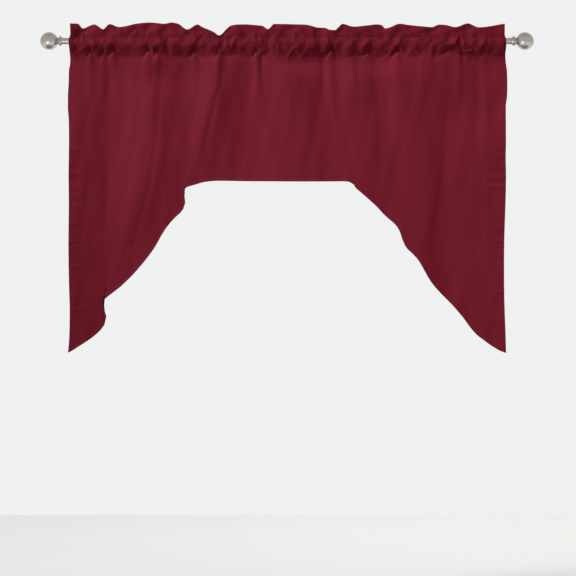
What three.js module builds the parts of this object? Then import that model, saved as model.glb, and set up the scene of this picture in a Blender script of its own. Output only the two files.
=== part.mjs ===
// Window swag on its curtain rod: one gathered cloth with two tails, a turned rod and two ball finials.
// Millimetres, +Z up. The origin is the middle of the rod's axis and the front faces -Y.
import * as THREE from 'three';

// Rod and finials
const ROD_RADIUS = 9.5;
const ROD_HALF_LENGTH = 666;
const ROD_SIDES = 32;
const BALL_RADIUS = 26;
const BALL_CENTRE = 700;
const BALL_ARC_STEPS = 18;
const NECK_RADIUS = 9;
const COLLAR_MOUTH = 661;
const COLLAR_MOUTH_RADIUS = 12;
const COLLAR_RIM = 668;
const COLLAR_RIM_RADIUS = 15.5;
const COLLAR_BACK = 674.5;
const COLLAR_BACK_RADIUS = 10.8;
const TURNED_SIDES = 32;
const SEAT_GAP = 0.3;

// Cloth
const HALF_WIDTH = 644.5;
const CLOTH_THICKNESS = 2;
const RUFFLE_THICKNESS = 3.6;
const HEADER_STITCH = 14;
const RUFFLE_TOP = 50;
const POCKET_STITCH = -45;
const HEM_LEVEL = -900;
const ROD_SEAT_GAP = 0.5;
const POCKET_RADIUS = 10.7;
const TUNNEL_FOOT = -40;
const PANEL_ROWS = 9;
const POCKET_ARC_STEPS = 5;
const TAPER_STEPS = 2;
const RUFFLE_ROWS = 2;
const COLUMN_PITCH = 17;
const SIDE_EASE = 90;
const FOLD_START = -14;
const FOLD_FULL = -85;
const LEAN_START = 15;
const LEAN_FULL = 40;
const WAIST = 0.25;
const GATHER_SPREAD = 0.75;

// Top edge of the ruffle, from the left end to the right
const RUFFLE_EDGE = [
  { x: -644, top: 50 }, { x: -621, top: 50 }, { x: -605, top: 36 }, { x: -562, top: 47 },
  { x: -539, top: 33 }, { x: -521, top: 49 }, { x: -493, top: 40 }, { x: -450, top: 51 },
  { x: -359, top: 53 }, { x: -318, top: 48 }, { x: -294, top: 32 }, { x: -261, top: 49 },
  { x: -225, top: 33 }, { x: -198, top: 17 }, { x: -176, top: 43 }, { x: -135, top: 48 },
  { x: -71, top: 43 }, { x: -54, top: 33 }, { x: -37, top: 50 }, { x: 54, top: 46 },
  { x: 91, top: 39 }, { x: 136, top: 32 }, { x: 164, top: 51 }, { x: 194, top: 41 },
  { x: 272, top: 47 }, { x: 288, top: 35 }, { x: 332, top: 49 }, { x: 425, top: 41 },
  { x: 456, top: 46 }, { x: 494, top: 40 }, { x: 533, top: 50 }, { x: 565, top: 40 },
  { x: 644, top: 50 },
];

// Gathers on the rod: how far each bulges from it, and how far its ruffle leans forward
const GATHERS = [
  { x: -624, width: 34, bulge: 3.5, lean: 4 }, { x: -577, width: 26, bulge: 5.6, lean: -5 },
  { x: -541, width: 22, bulge: 4.2, lean: 5 }, { x: -512, width: 26, bulge: 5.6, lean: -3 },
  { x: -462, width: 50, bulge: 4.2, lean: 4 }, { x: -403, width: 40, bulge: 6.3, lean: -2 },
  { x: -374, width: 24, bulge: 5.6, lean: 3 }, { x: -330, width: 34, bulge: 5.6, lean: -4 },
  { x: -274, width: 22, bulge: 7.0, lean: 6 }, { x: -232, width: 34, bulge: 5.6, lean: -4 },
  { x: -203, width: 20, bulge: 7.0, lean: -6 }, { x: -153, width: 40, bulge: 5.6, lean: 5 },
  { x: -88, width: 24, bulge: 7.0, lean: -5 }, { x: -38, width: 36, bulge: 5.6, lean: 4 },
  { x: 24, width: 40, bulge: 4.2, lean: -3 }, { x: 68, width: 34, bulge: 4.2, lean: 3 },
  { x: 121, width: 30, bulge: 7.0, lean: -5 }, { x: 194, width: 36, bulge: 5.6, lean: 5 },
  { x: 238, width: 24, bulge: 5.6, lean: -3 }, { x: 297, width: 30, bulge: 5.6, lean: 4 },
  { x: 333, width: 30, bulge: 6.3, lean: -2 }, { x: 397, width: 36, bulge: 4.2, lean: 4 },
  { x: 453, width: 24, bulge: 7.0, lean: -4 }, { x: 494, width: 22, bulge: 7.0, lean: 5 },
  { x: 544, width: 30, bulge: 4.2, lean: -5 }, { x: 589, width: 40, bulge: 4.2, lean: 3 },
];

// Folds of the panel: centre at the top and at the foot, reach down, width, and rise to the front
const FOLDS = [
  { x: -612, foot: -608, low: -520, width: 20, rise: 5 },
  { x: -573, foot: -577, low: -640, width: 22, rise: -5 },
  { x: -527, foot: -536, low: -740, width: 15, rise: -6 },
  { x: -447, foot: -462, low: -520, width: 52, rise: 10 },
  { x: -372, foot: -404, low: -640, width: 18, rise: -8 },
  { x: -306, foot: -306, low: -260, width: 18, rise: -6 },
  { x: -235, foot: -272, low: -420, width: 34, rise: 11 },
  { x: -190, foot: -250, low: -430, width: 14, rise: -8 },
  { x: -147, foot: -150, low: -330, width: 20, rise: -5 },
  { x: -84, foot: -84, low: -230, width: 16, rise: 6 },
  { x: -41, foot: -38, low: -420, width: 26, rise: 8 },
  { x: 68, foot: 72, low: -300, width: 32, rise: -8 },
  { x: 128, foot: 148, low: -430, width: 18, rise: 7 },
  { x: 185, foot: 182, low: -240, width: 22, rise: 8 },
  { x: 222, foot: 224, low: -230, width: 16, rise: -7 },
  { x: 296, foot: 300, low: -420, width: 38, rise: 9 },
  { x: 384, foot: 372, low: -520, width: 30, rise: -4 },
  { x: 484, foot: 462, low: -620, width: 18, rise: -7 },
  { x: 510, foot: 494, low: -620, width: 15, rise: 6 },
  { x: 560, foot: 556, low: -760, width: 26, rise: -4 },
  { x: 600, foot: 592, low: -820, width: 26, rise: 6 },
];

// Lower edge: where the thread that starts at x along the rod ends, across and down
const HEM = [
  { x: -644.5, across: -644.5, down: -915 }, { x: -627, across: -627, down: -903 },
  { x: -592, across: -592, down: -880 }, { x: -562, across: -560, down: -855 },
  { x: -549, across: -541, down: -832 }, { x: -541, across: -536, down: -809 },
  { x: -534, across: -540, down: -785 }, { x: -526, across: -541, down: -764 },
  { x: -510, across: -515, down: -739 }, { x: -465, across: -465, down: -692 },
  { x: -414, across: -412, down: -632 }, { x: -376, across: -376, down: -574 },
  { x: -341, across: -341, down: -526 }, { x: -317, across: -317, down: -503 },
  { x: -308, across: -306, down: -481 }, { x: -302, across: -304, down: -458 },
  { x: -294, across: -304, down: -434 }, { x: -280, across: -280, down: -421 },
  { x: -212, across: -212, down: -412 }, { x: 0, across: 0, down: -413 },
  { x: 178, across: 178, down: -412 }, { x: 197, across: 197, down: -420 },
  { x: 207, across: 203, down: -433 }, { x: 232, across: 232, down: -456 },
  { x: 306, across: 306, down: -526 }, { x: 336, across: 336, down: -562 },
  { x: 345, across: 342, down: -585 }, { x: 415, across: 415, down: -692 },
  { x: 462, across: 462, down: -750 }, { x: 527, across: 527, down: -821 },
  { x: 553, across: 553, down: -856 }, { x: 618, across: 618, down: -903 },
  { x: 644.5, across: 644.5, down: -918 },
];

// How far the two side edges draw in at each height
const SIDE_EDGES = [
  { z: -915, left: 0, right: 0 }, { z: -860, left: 2, right: 4 }, { z: -700, left: 0, right: 9 },
  { z: -500, left: 3, right: 9 }, { z: -420, left: 2, right: 3 }, { z: -150, left: 0, right: 0 },
  { z: -60, left: 3, right: 3 }, { z: -30, left: 6, right: 6 }, { z: 0, left: 3, right: 3 },
  { z: 20, left: 9, right: 9 }, { z: 50, left: 9, right: 9 },
];

const clothMaterial = new THREE.MeshStandardMaterial({ color: 0x691c28, roughness: 0.8, metalness: 0 });
const nickelMaterial = new THREE.MeshStandardMaterial({ color: 0xa8a49b, roughness: 0.35, metalness: 1 });

// Reads one named column of a table at a place, smoothly and without overshoot between its rows
function readTable(rows, place, column, at) {
  const last = rows.length - 1;
  if (at <= rows[0][place]) return rows[0][column];
  if (at >= rows[last][place]) return rows[last][column];
  const right = rows.findIndex((row) => row[place] >= at);
  const slope = (index) => (
    (rows[index][column] - rows[index - 1][column]) / (rows[index][place] - rows[index - 1][place])
  );
  const tangent = (index) => {
    if (index === 0) return slope(1);
    if (index === last) return slope(last);
    const before = slope(index);
    const after = slope(index + 1);
    return before * after <= 0 ? 0 : (2 * before * after) / (before + after);
  };
  const span = rows[right][place] - rows[right - 1][place];
  const t = (at - rows[right - 1][place]) / span;
  const rise = rows[right][column] - rows[right - 1][column];
  const t2 = t * t;
  const t3 = t2 * t;
  return rows[right - 1][column]
    + rise * (3 * t2 - 2 * t3)
    + span * (tangent(right - 1) * (t3 - 2 * t2 + t) + tangent(right) * (t3 - t2));
}

// Soft bump of height 1 at its centre, near 0 one and a half widths away
const bump = (offset, width) => Math.exp(-((offset / width) ** 2) * 1.4);

// Rises from 0 to 1 as a value goes from start to full
function ease(value, start, full) {
  return THREE.MathUtils.smoothstep((value - start) / (full - start), 0, 1);
}

// Where the cloth stands before its folds: widest at the rod, drawn together at both stitch lines
function pocketOutline(offset) {
  const radius = POCKET_RADIUS + offset;
  const centre = ROD_RADIUS + ROD_SEAT_GAP - POCKET_RADIUS;
  const foot = TUNNEL_FOOT - offset;
  const turn = Math.asin(radius / (centre - foot));
  const points = [];
  for (let step = TAPER_STEPS; step > 0; step -= 1) {
    const t = step / (TAPER_STEPS + 1);
    const x = radius * Math.cos(turn);
    const y = centre - radius * Math.sin(turn);
    points.push(new THREE.Vector2(x * (1 - t), y + (foot - y) * t));
  }
  for (let step = 0; step <= POCKET_ARC_STEPS; step += 1) {
    const angle = -turn + ((Math.PI / 2 + turn) * step) / POCKET_ARC_STEPS;
    points.push(new THREE.Vector2(radius * Math.cos(angle), centre + radius * Math.sin(angle)));
  }
  return { points, foot: new THREE.Vector2(0, foot) };
}

// The same outline on the front side, in reverse order
const mirrored = (points) => points.map((point) => new THREE.Vector2(-point.x, point.y)).reverse();

// The section across the rod, back half first: panel, pocket and ruffle, then down the front again
function clothSection() {
  const half = CLOTH_THICKNESS / 2;
  const back = [];
  for (let row = 0; row <= PANEL_ROWS; row += 1) {
    const t = row / PANEL_ROWS;
    const narrow = WAIST * Math.sin(Math.PI * t);
    back.push(new THREE.Vector2(half - narrow, HEM_LEVEL + (POCKET_STITCH - HEM_LEVEL) * t));
  }
  const ruffleHalf = RUFFLE_THICKNESS / 2;
  pocketOutline(CLOTH_THICKNESS).points
    .filter((point) => point.x > ruffleHalf && point.y > POCKET_STITCH + CLOTH_THICKNESS)
    .forEach((point) => back.push(point));
  for (let row = 0; row <= RUFFLE_ROWS; row += 1) {
    const t = row / RUFFLE_ROWS;
    const narrow = WAIST * Math.sin(Math.PI * t);
    back.push(new THREE.Vector2(ruffleHalf - narrow, HEADER_STITCH + (RUFFLE_TOP - HEADER_STITCH) * t));
  }
  const section = new THREE.Shape([...back, ...mirrored(back)]);

  const tunnel = pocketOutline(0);
  const tunnelBack = tunnel.points.slice(0, -1);
  const tunnelTop = tunnel.points.slice(-1);
  section.holes.push(new THREE.Path([tunnel.foot, ...tunnelBack, ...tunnelTop, ...mirrored(tunnelBack)]));
  return section;
}

// Columns of threads along the rod: evenly spaced between the places where the outline turns sharply
function threadColumns() {
  const turns = [-HALF_WIDTH, ...RUFFLE_EDGE.slice(1, -1).map((row) => row.x), HALF_WIDTH];
  const columns = [-HALF_WIDTH];
  for (let index = 1; index < turns.length; index += 1) {
    const span = turns[index] - turns[index - 1];
    const count = Math.max(1, Math.round(span / COLUMN_PITCH));
    for (let step = 1; step <= count; step += 1) {
      columns.push(turns[index - 1] + (span * step) / count);
    }
  }
  return columns;
}

// Forward rise of the panel's folds at a place on the cloth
function foldRise(x, z) {
  const fall = ease(z, FOLD_START, FOLD_FULL);
  let rise = 0;
  for (const fold of FOLDS) {
    const t = THREE.MathUtils.clamp((z - POCKET_STITCH) / (fold.low - POCKET_STITCH), 0, 1);
    const centre = fold.x + (fold.foot - fold.x) * t;
    const fade = 1 - ease(z, fold.low * 0.45, fold.low);
    rise += fold.rise * (0.2 + 0.8 * fade) * bump(x - centre, fold.width);
  }
  return rise * fall;
}

// Sum over the gathers of one of their named heights
function gatherSum(x, column) {
  const add = (sum, gather) => sum + gather[column] * bump(x - gather.x, gather.width * GATHER_SPREAD);
  return GATHERS.reduce(add, 0);
}

// How far a side edge draws in, easing to nothing away from it
function drawIn(x, z) {
  const side = x < 0 ? 'left' : 'right';
  const near = ease(Math.abs(x), HALF_WIDTH - SIDE_EASE, HALF_WIDTH);
  return -Math.sign(x) * near * readTable(SIDE_EDGES, 'z', side, z);
}

// Moves a point of the straight extrusion to where the cloth hangs
function hangPoint(point, columns) {
  const start = columns[Math.round(point.z)];
  const level = point.y;
  let x = start;
  let y = point.x;
  let z = level;
  if (level < POCKET_STITCH) {
    const t = (POCKET_STITCH - level) / (POCKET_STITCH - HEM_LEVEL);
    x += (readTable(HEM, 'x', 'across', start) - start) * t * t;
    z = POCKET_STITCH + (readTable(HEM, 'x', 'down', start) - POCKET_STITCH) * t;
  } else if (level > HEADER_STITCH) {
    const t = (level - HEADER_STITCH) / (RUFFLE_TOP - HEADER_STITCH);
    z = HEADER_STITCH + (readTable(RUFFLE_EDGE, 'x', 'top', start) - HEADER_STITCH) * t;
    y -= gatherSum(start, 'lean') * ease(z, LEAN_START, LEAN_FULL);
  } else {
    const t = (HEADER_STITCH - level) / (HEADER_STITCH - POCKET_STITCH);
    y += Math.sign(point.x) * gatherSum(start, 'bulge') * Math.sin(Math.PI * t);
  }
  y -= foldRise(x, z);
  x += drawIn(x, z);
  return new THREE.Vector3(x, y, z);
}

function makeCloth() {
  const columns = threadColumns();
  const steps = columns.length - 1;
  const geometry = new THREE.ExtrudeGeometry(clothSection(), { depth: steps, steps, bevelEnabled: false });
  const position = geometry.attributes.position;
  const point = new THREE.Vector3();
  for (let index = 0; index < position.count; index += 1) {
    const hung = hangPoint(point.fromBufferAttribute(position, index), columns);
    position.setXYZ(index, hung.x, hung.y, hung.z);
  }
  geometry.computeVertexNormals();
  const cloth = new THREE.Mesh(geometry, clothMaterial);
  cloth.name = 'swag_cloth';
  return cloth;
}

function makeRod() {
  const geometry = new THREE.CylinderGeometry(ROD_RADIUS, ROD_RADIUS, 2 * ROD_HALF_LENGTH, ROD_SIDES);
  const rod = new THREE.Mesh(geometry, nickelMaterial);
  rod.name = 'rod';
  rod.rotation.z = Math.PI / 2;
  return rod;
}

// The collar is a flared cup over the rod's end, seated on the ball's neck
function makeCollar(name) {
  const bore = ROD_RADIUS + SEAT_GAP;
  const socket = ROD_HALF_LENGTH + SEAT_GAP;
  const profile = [
    new THREE.Vector2(0, socket),
    new THREE.Vector2(bore, socket),
    new THREE.Vector2(bore, COLLAR_MOUTH),
    new THREE.Vector2(COLLAR_MOUTH_RADIUS, COLLAR_MOUTH),
    new THREE.Vector2(COLLAR_RIM_RADIUS - 1, COLLAR_RIM - 1.5),
    new THREE.Vector2(COLLAR_RIM_RADIUS, COLLAR_RIM),
    new THREE.Vector2(COLLAR_RIM_RADIUS - 1, COLLAR_RIM + 1.5),
    new THREE.Vector2(COLLAR_BACK_RADIUS, COLLAR_BACK - 2),
    new THREE.Vector2(COLLAR_BACK_RADIUS, COLLAR_BACK),
    new THREE.Vector2(0, COLLAR_BACK),
  ];
  const collar = new THREE.Mesh(new THREE.LatheGeometry(profile, TURNED_SIDES), nickelMaterial);
  collar.name = name;
  return collar;
}

// The ball is turned with a short neck that meets the collar's back
function makeBall(name) {
  const neckFace = COLLAR_BACK + SEAT_GAP;
  const neckAngle = Math.asin(NECK_RADIUS / BALL_RADIUS);
  const profile = [new THREE.Vector2(0, neckFace), new THREE.Vector2(NECK_RADIUS, neckFace)];
  for (let step = 0; step <= BALL_ARC_STEPS; step += 1) {
    const angle = neckAngle + ((Math.PI - neckAngle) * step) / BALL_ARC_STEPS;
    const radius = step === BALL_ARC_STEPS ? 0 : BALL_RADIUS * Math.sin(angle);
    profile.push(new THREE.Vector2(radius, BALL_CENTRE - BALL_RADIUS * Math.cos(angle)));
  }
  const ball = new THREE.Mesh(new THREE.LatheGeometry(profile, TURNED_SIDES), nickelMaterial);
  ball.name = name;
  return ball;
}

const group = new THREE.Group();
group.add(makeCloth());
group.add(makeRod());
for (const end of [{ name: 'left', turn: Math.PI / 2 }, { name: 'right', turn: -Math.PI / 2 }]) {
  const finial = new THREE.Group();
  finial.add(makeCollar(`finial_collar_${end.name}`));
  finial.add(makeBall(`finial_ball_${end.name}`));
  finial.rotation.z = end.turn;
  group.add(finial);
}

export default group;
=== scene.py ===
"""Window swag on a curtain rod: the finished looks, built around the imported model.

The tables are in millimetres, as the cloth was measured, and MM turns them into the scene's metres.
X runs along the rod, the room is on the -Y side and Z is up. The origin is the middle of the rod's axis.
"""
import logging
import math
from dataclasses import dataclass, field, replace
from enum import Enum
from typing import Any, Iterator

import bpy
import numpy as np
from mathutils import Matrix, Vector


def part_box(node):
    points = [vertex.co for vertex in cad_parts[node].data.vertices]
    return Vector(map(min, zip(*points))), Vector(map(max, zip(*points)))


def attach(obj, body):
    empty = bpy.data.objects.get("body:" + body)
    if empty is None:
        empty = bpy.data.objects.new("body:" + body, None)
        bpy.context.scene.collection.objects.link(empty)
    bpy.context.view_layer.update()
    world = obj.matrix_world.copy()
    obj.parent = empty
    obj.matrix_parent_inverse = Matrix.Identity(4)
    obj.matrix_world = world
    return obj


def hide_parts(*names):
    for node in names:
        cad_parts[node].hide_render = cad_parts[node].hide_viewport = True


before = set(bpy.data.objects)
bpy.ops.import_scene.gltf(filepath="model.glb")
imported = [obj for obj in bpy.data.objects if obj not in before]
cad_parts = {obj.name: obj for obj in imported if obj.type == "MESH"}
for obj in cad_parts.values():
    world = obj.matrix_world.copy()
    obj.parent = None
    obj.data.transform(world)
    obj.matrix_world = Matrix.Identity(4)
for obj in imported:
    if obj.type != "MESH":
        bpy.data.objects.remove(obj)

LOG = logging.getLogger("window_swag")
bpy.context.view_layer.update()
MM = 0.001
ROOT_BODY = "root"

Grid = np.ndarray


def smooth_between(places: Grid, values: Grid, at: Grid) -> Grid:
    """Reads values between places, smoothly and without overshoot.

    Args:
        places: rising places, one for each value, or a row of them for each value.
        values: the values, in the same shape.
        at: where to read.

    Returns:
        A value for each entry of at.
    """
    shape = np.shape(at)
    spots = np.ravel(at)
    if places.ndim == 1:
        places = np.repeat(places[:, None], spots.size, axis=1)
        values = np.repeat(values[:, None], spots.size, axis=1)
    places = places.reshape(len(places), -1)
    values = values.reshape(len(values), -1)
    slopes = np.diff(values, axis=0) / np.diff(places, axis=0)
    before = slopes[:-1]
    after = slopes[1:]
    rising = before * after > 0
    total = np.where(rising, before + after, 1.0)
    middle = np.where(rising, 2 * before * after / total, 0.0)
    tangents = np.concatenate([slopes[:1], middle, slopes[-1:]])
    left = np.clip((places <= spots).sum(axis=0) - 1, 0, len(places) - 2)
    column = np.arange(spots.size)
    span = places[left + 1, column] - places[left, column]
    t = np.clip((spots - places[left, column]) / span, 0.0, 1.0)
    low = values[left, column]
    rise = values[left + 1, column] - low
    leave = span * tangents[left, column]
    arrive = span * tangents[left + 1, column]
    smooth = low + rise * (3 * t**2 - 2 * t**3)
    return (smooth + leave * (t**3 - 2 * t**2 + t) + arrive * (t**3 - t**2)).reshape(shape)


@dataclass(frozen=True)
class Table:
    """A short table with named columns and a row for each section, fold or gather.

    Attributes:
        names: the columns' names; the first one is the place that the others are read at.
        rows: one tuple of numbers for each row.
    """

    names: tuple[str, ...]
    rows: tuple[tuple[float, ...], ...]

    def column(self, name: str) -> Grid:
        """Returns one named column as an array."""
        return np.array([row[self.names.index(name)] for row in self.rows], float)

    def records(self) -> Iterator[dict[str, float]]:
        """Yields each row as a dictionary of its named values."""
        for row in self.rows:
            yield dict(zip(self.names, row))

    def read(self, name: str, at: Grid) -> Grid:
        """Reads a column at any places along the first column, smoothly and without overshoot."""
        return smooth_between(self.column(self.names[0]), self.column(name), at)


# Top edge of the ruffle, from the left end to the right
RUFFLE_EDGE = Table(
    ("x", "top"),
    (
        (-644, 49), (-621, 49), (-605, 36), (-565, 47), (-553, 41), (-540, 33), (-521, 48), (-493, 39.5),
        (-475, 41.5), (-440, 49.2), (-400, 52.5), (-362, 48.8), (-338, 52.5), (-320, 49), (-292.5, 32.5),
        (-262, 46.5), (-250, 40), (-225, 30), (-212, 23), (-199, 15.5), (-178, 34), (-163, 44), (-135, 47),
        (-73, 43.3), (-56, 33.5), (-37, 48.2), (54, 46.3), (91, 38), (112, 37), (125, 31.5), (140, 30.5),
        (150, 38), (163, 48.5), (194, 40.5), (238, 44.5), (266, 47), (278, 45), (288, 35.5), (299, 37.5),
        (332, 49), (352, 46), (370, 44), (425, 39.3), (446, 46.5), (464, 45.7), (494, 39), (531, 50),
        (563, 38.5), (644, 49),
    ),
)

# Gathers on the rod: how far each bulges, and how far the ruffle over it leans forward, or back below 0
GATHERS = Table(
    ("x", "width", "bulge", "lean"),
    (
        (-652, 46, 12.0, 26), (-577, 26, 5.6, -5), (-541, 22, 4.2, 5), (-512, 26, 5.6, -3),
        (-462, 50, 4.2, 4), (-403, 40, 6.3, -2), (-374, 24, 5.6, 3), (-330, 34, 5.6, -4),
        (-274, 22, 7.0, 6), (-232, 34, 5.6, -4), (-203, 20, 7.0, -6), (-153, 40, 5.6, 5),
        (-88, 24, 7.0, -5), (-38, 36, 5.6, 4), (24, 40, 4.2, -3), (68, 34, 4.2, 3),
        (121, 30, 7.0, -5), (194, 36, 5.6, 5), (238, 24, 5.6, -3), (297, 30, 5.6, 4),
        (333, 30, 6.3, -2), (397, 36, 4.2, 4), (453, 24, 7.0, -4), (494, 22, 7.0, 5),
        (544, 30, 4.2, -5), (589, 40, 4.2, 3),
    ),
)

# Places where the panel pushes up under the pocket's stitches, with how far and how wide
TONGUES = Table(
    ("x", "lift", "width"),
    (
        (-580, 18, 9), (-541, 14, 8), (-512, 23, 13), (-409, 22, 12), (-382, 17, 10), (-272, 18, 9),
        (-203, 12, 8), (-150, 9, 18), (-90, 20, 8), (130, 25, 11), (238, 17, 15), (324, 22, 13),
        (397, 10, 9), (480, 20, 28), (580, 14, 9),
    ),
)

# Heights at which the panel's fold lines are given, from the foot up
FOLD_LEVELS = (-600, -327, -180, -114, -62)

# Ridges, valleys and bends of the panel's folds from left to right: at each level, the place across and
# how far the cloth comes forward there
FOLD_LINES = Table(
    ("foot_x", "foot", "lower_x", "lower", "middle_x", "middle", "upper_x", "upper", "high_x", "high"),
    (
        (-646, 16, -646, 10, -646, 4, -646, 2, -646, 1),
        (-598, 5, -600, 3.5, -598, 1.5, -598, 0, -600, -1.5),
        (-524, -8, -508, -8.5, -510, -8.5, -510, -8.5, -518, -6.5),
        (-475, -11.5, -394, 6, -380, 5, -392, -1, -388, 4),
        (-430, -14.5, -355, 2, -350, 1, -345, -4, -341, -3.5),
        (-410, -15.5, -290, -2.5, -290, -6.5, -288, -8.5, -285, -5),
        (-300, -19, -255, 0.5, -216, 6.5, -203, 8, -200, 7.5),
        (-230, -18, -215, -2.5, -180, 1, -175, 2.5, -168, -0.5),
        (-120, -8, -120, -8.5, -122, -6, -118, -5, -118, -1.5),
        (0, 0, -20, 3.5, 20, 8.5, 15, 11, -30, 4),
        (60, 0, 50, 6.5, 60, 7.5, 50, 8, 30, -4),
        (130, 1, 130, 3.5, 115, 1, 130, -3, 120, -9),
        (235, 4, 235, 10, 190, 7, 204, 8, 194, 1.5),
        (300, 3, 300, 6, 285, 0.5, 258, 2, 240, -6),
        (372, 6, 375, 9.5, 350, 11, 350, 11.5, 350, 6.5),
        (400, 5.5, 405, 10, 400, 9.5, 400, 10.5, 420, 7),
        (470, -3, 470, 6, 490, 0, 495, 1, 478, -1),
        (500, -1, 505, 7.5, 525, -0.5, 512, 1, 508, 0.5),
        (560, 0.5, 552, 9, 590, -2, 580, -3, 560, -5),
        (646, 3.5, 646, 7.5, 646, 0, 646, -3, 646, -6),
    ),
)

# Lower edge: where the thread that starts at x along the rod ends, across and down
HEM = Table(
    ("x", "across", "down"),
    (
        (-644.5, -644.5, -917), (-637, -637, -913.5), (-615, -615, -899), (-600, -600, -889.5),
        (-574, -574, -872), (-555, -553, -854), (-546, -540.5, -836.5), (-541, -536, -815),
        (-536, -535.6, -792), (-532, -535.2, -772), (-528, -533.5, -758), (-521, -524, -749),
        (-490, -490, -722), (-454, -454, -686.5), (-408, -409.5, -634), (-383, -385, -598.5),
        (-369, -371, -572.5), (-352, -353, -545.5), (-329, -330, -519), (-316, -311.5, -502),
        (-309, -301.5, -484), (-304.5, -299.4, -470), (-301, -299.3, -457), (-297.5, -299.2, -440),
        (-292, -296.5, -431.5), (-273, -273, -423.2), (-240, -240, -414.2), (-205, -205, -411),
        (-100, -100, -412.2), (50, 50, -413.5), (174, 174, -413), (196, 196.5, -423), (202, 201, -431),
        (220, 220.5, -448.5), (260, 260.5, -484), (294, 294, -519), (315, 316, -537.5),
        (329, 329, -555.5), (338, 336, -573), (344, 341, -590), (350, 351, -608.5), (368, 370, -626.5),
        (384, 385, -643.5), (396, 396.5, -661.5), (410, 411, -687), (427, 428, -714), (449, 451, -740),
        (484, 486, -776), (515, 516.5, -811), (541, 542.5, -846), (558, 558.5, -864),
        (581.5, 581.5, -881.5), (605.5, 605.5, -899), (632, 632, -914), (644.5, 644.5, -918),
    ),
)

# Small sways of the cloth's edge to the right, or left below 0, in the left tail's notch and at the arch
EDGE_SWAYS = Table(
    ("x", "reach", "z", "spread", "sway"),
    ((-536, 34, -820, 17, 5.5), (-536, 26, -776, 20, -8.2), (-300, 26, -444, 14, -6.0)),
)

# How far the two side edges draw in at each height, or stand out below 0
SIDE_EDGES = Table(
    ("z", "left", "right"),
    (
        (-915, 0.5, -1), (-868, 4.5, 0.5), (-798, 6.2, 3.4), (-727, 4.6, 5.4), (-650, 3.2, 5.9),
        (-585, 2.9, 5.2), (-480, 3.8, 2.1), (-400, 2.9, 0.5), (-338, 3.4, 1.4), (-300, 3.7, 0.6),
        (-232, 2.8, 0.6), (-195, 0, 0.7), (-160, 0, -3.4), (-125, 2, -4.2), (-90, 2.8, -3.5),
        (-58, 6.8, 0.6), (-38, 5.7, 1.7), (-14, 4, 0), (0, 3, 0), (20, 9, 5.5), (50, 9, 5.5),
    ),
)

# The pocket's section over the rod, from its lower stitches at share 0 to the header stitches at 1
POCKET = Table(
    ("share", "front", "back", "level"),
    (
        (0.0, 0.9, 0.9, -47), (0.14, 3.6, 3.6, -38), (0.33, 7.6, 7.4, -26), (0.52, 11.9, 10.5, -14),
        (0.68, 14.2, 11.6, -3), (0.78, 14.6, 10.4, 3.5), (0.86, 15.0, 7.0, 8.4), (0.93, 15.5, 0.0, 11.3),
        (0.98, 15.8, -10.3, 12.8), (1.0, 15.9, -14.1, 13.2),
    ),
)

CREASE_COLUMNS = ("x", "z", "to_x", "to_z", "width", "rise")

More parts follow.
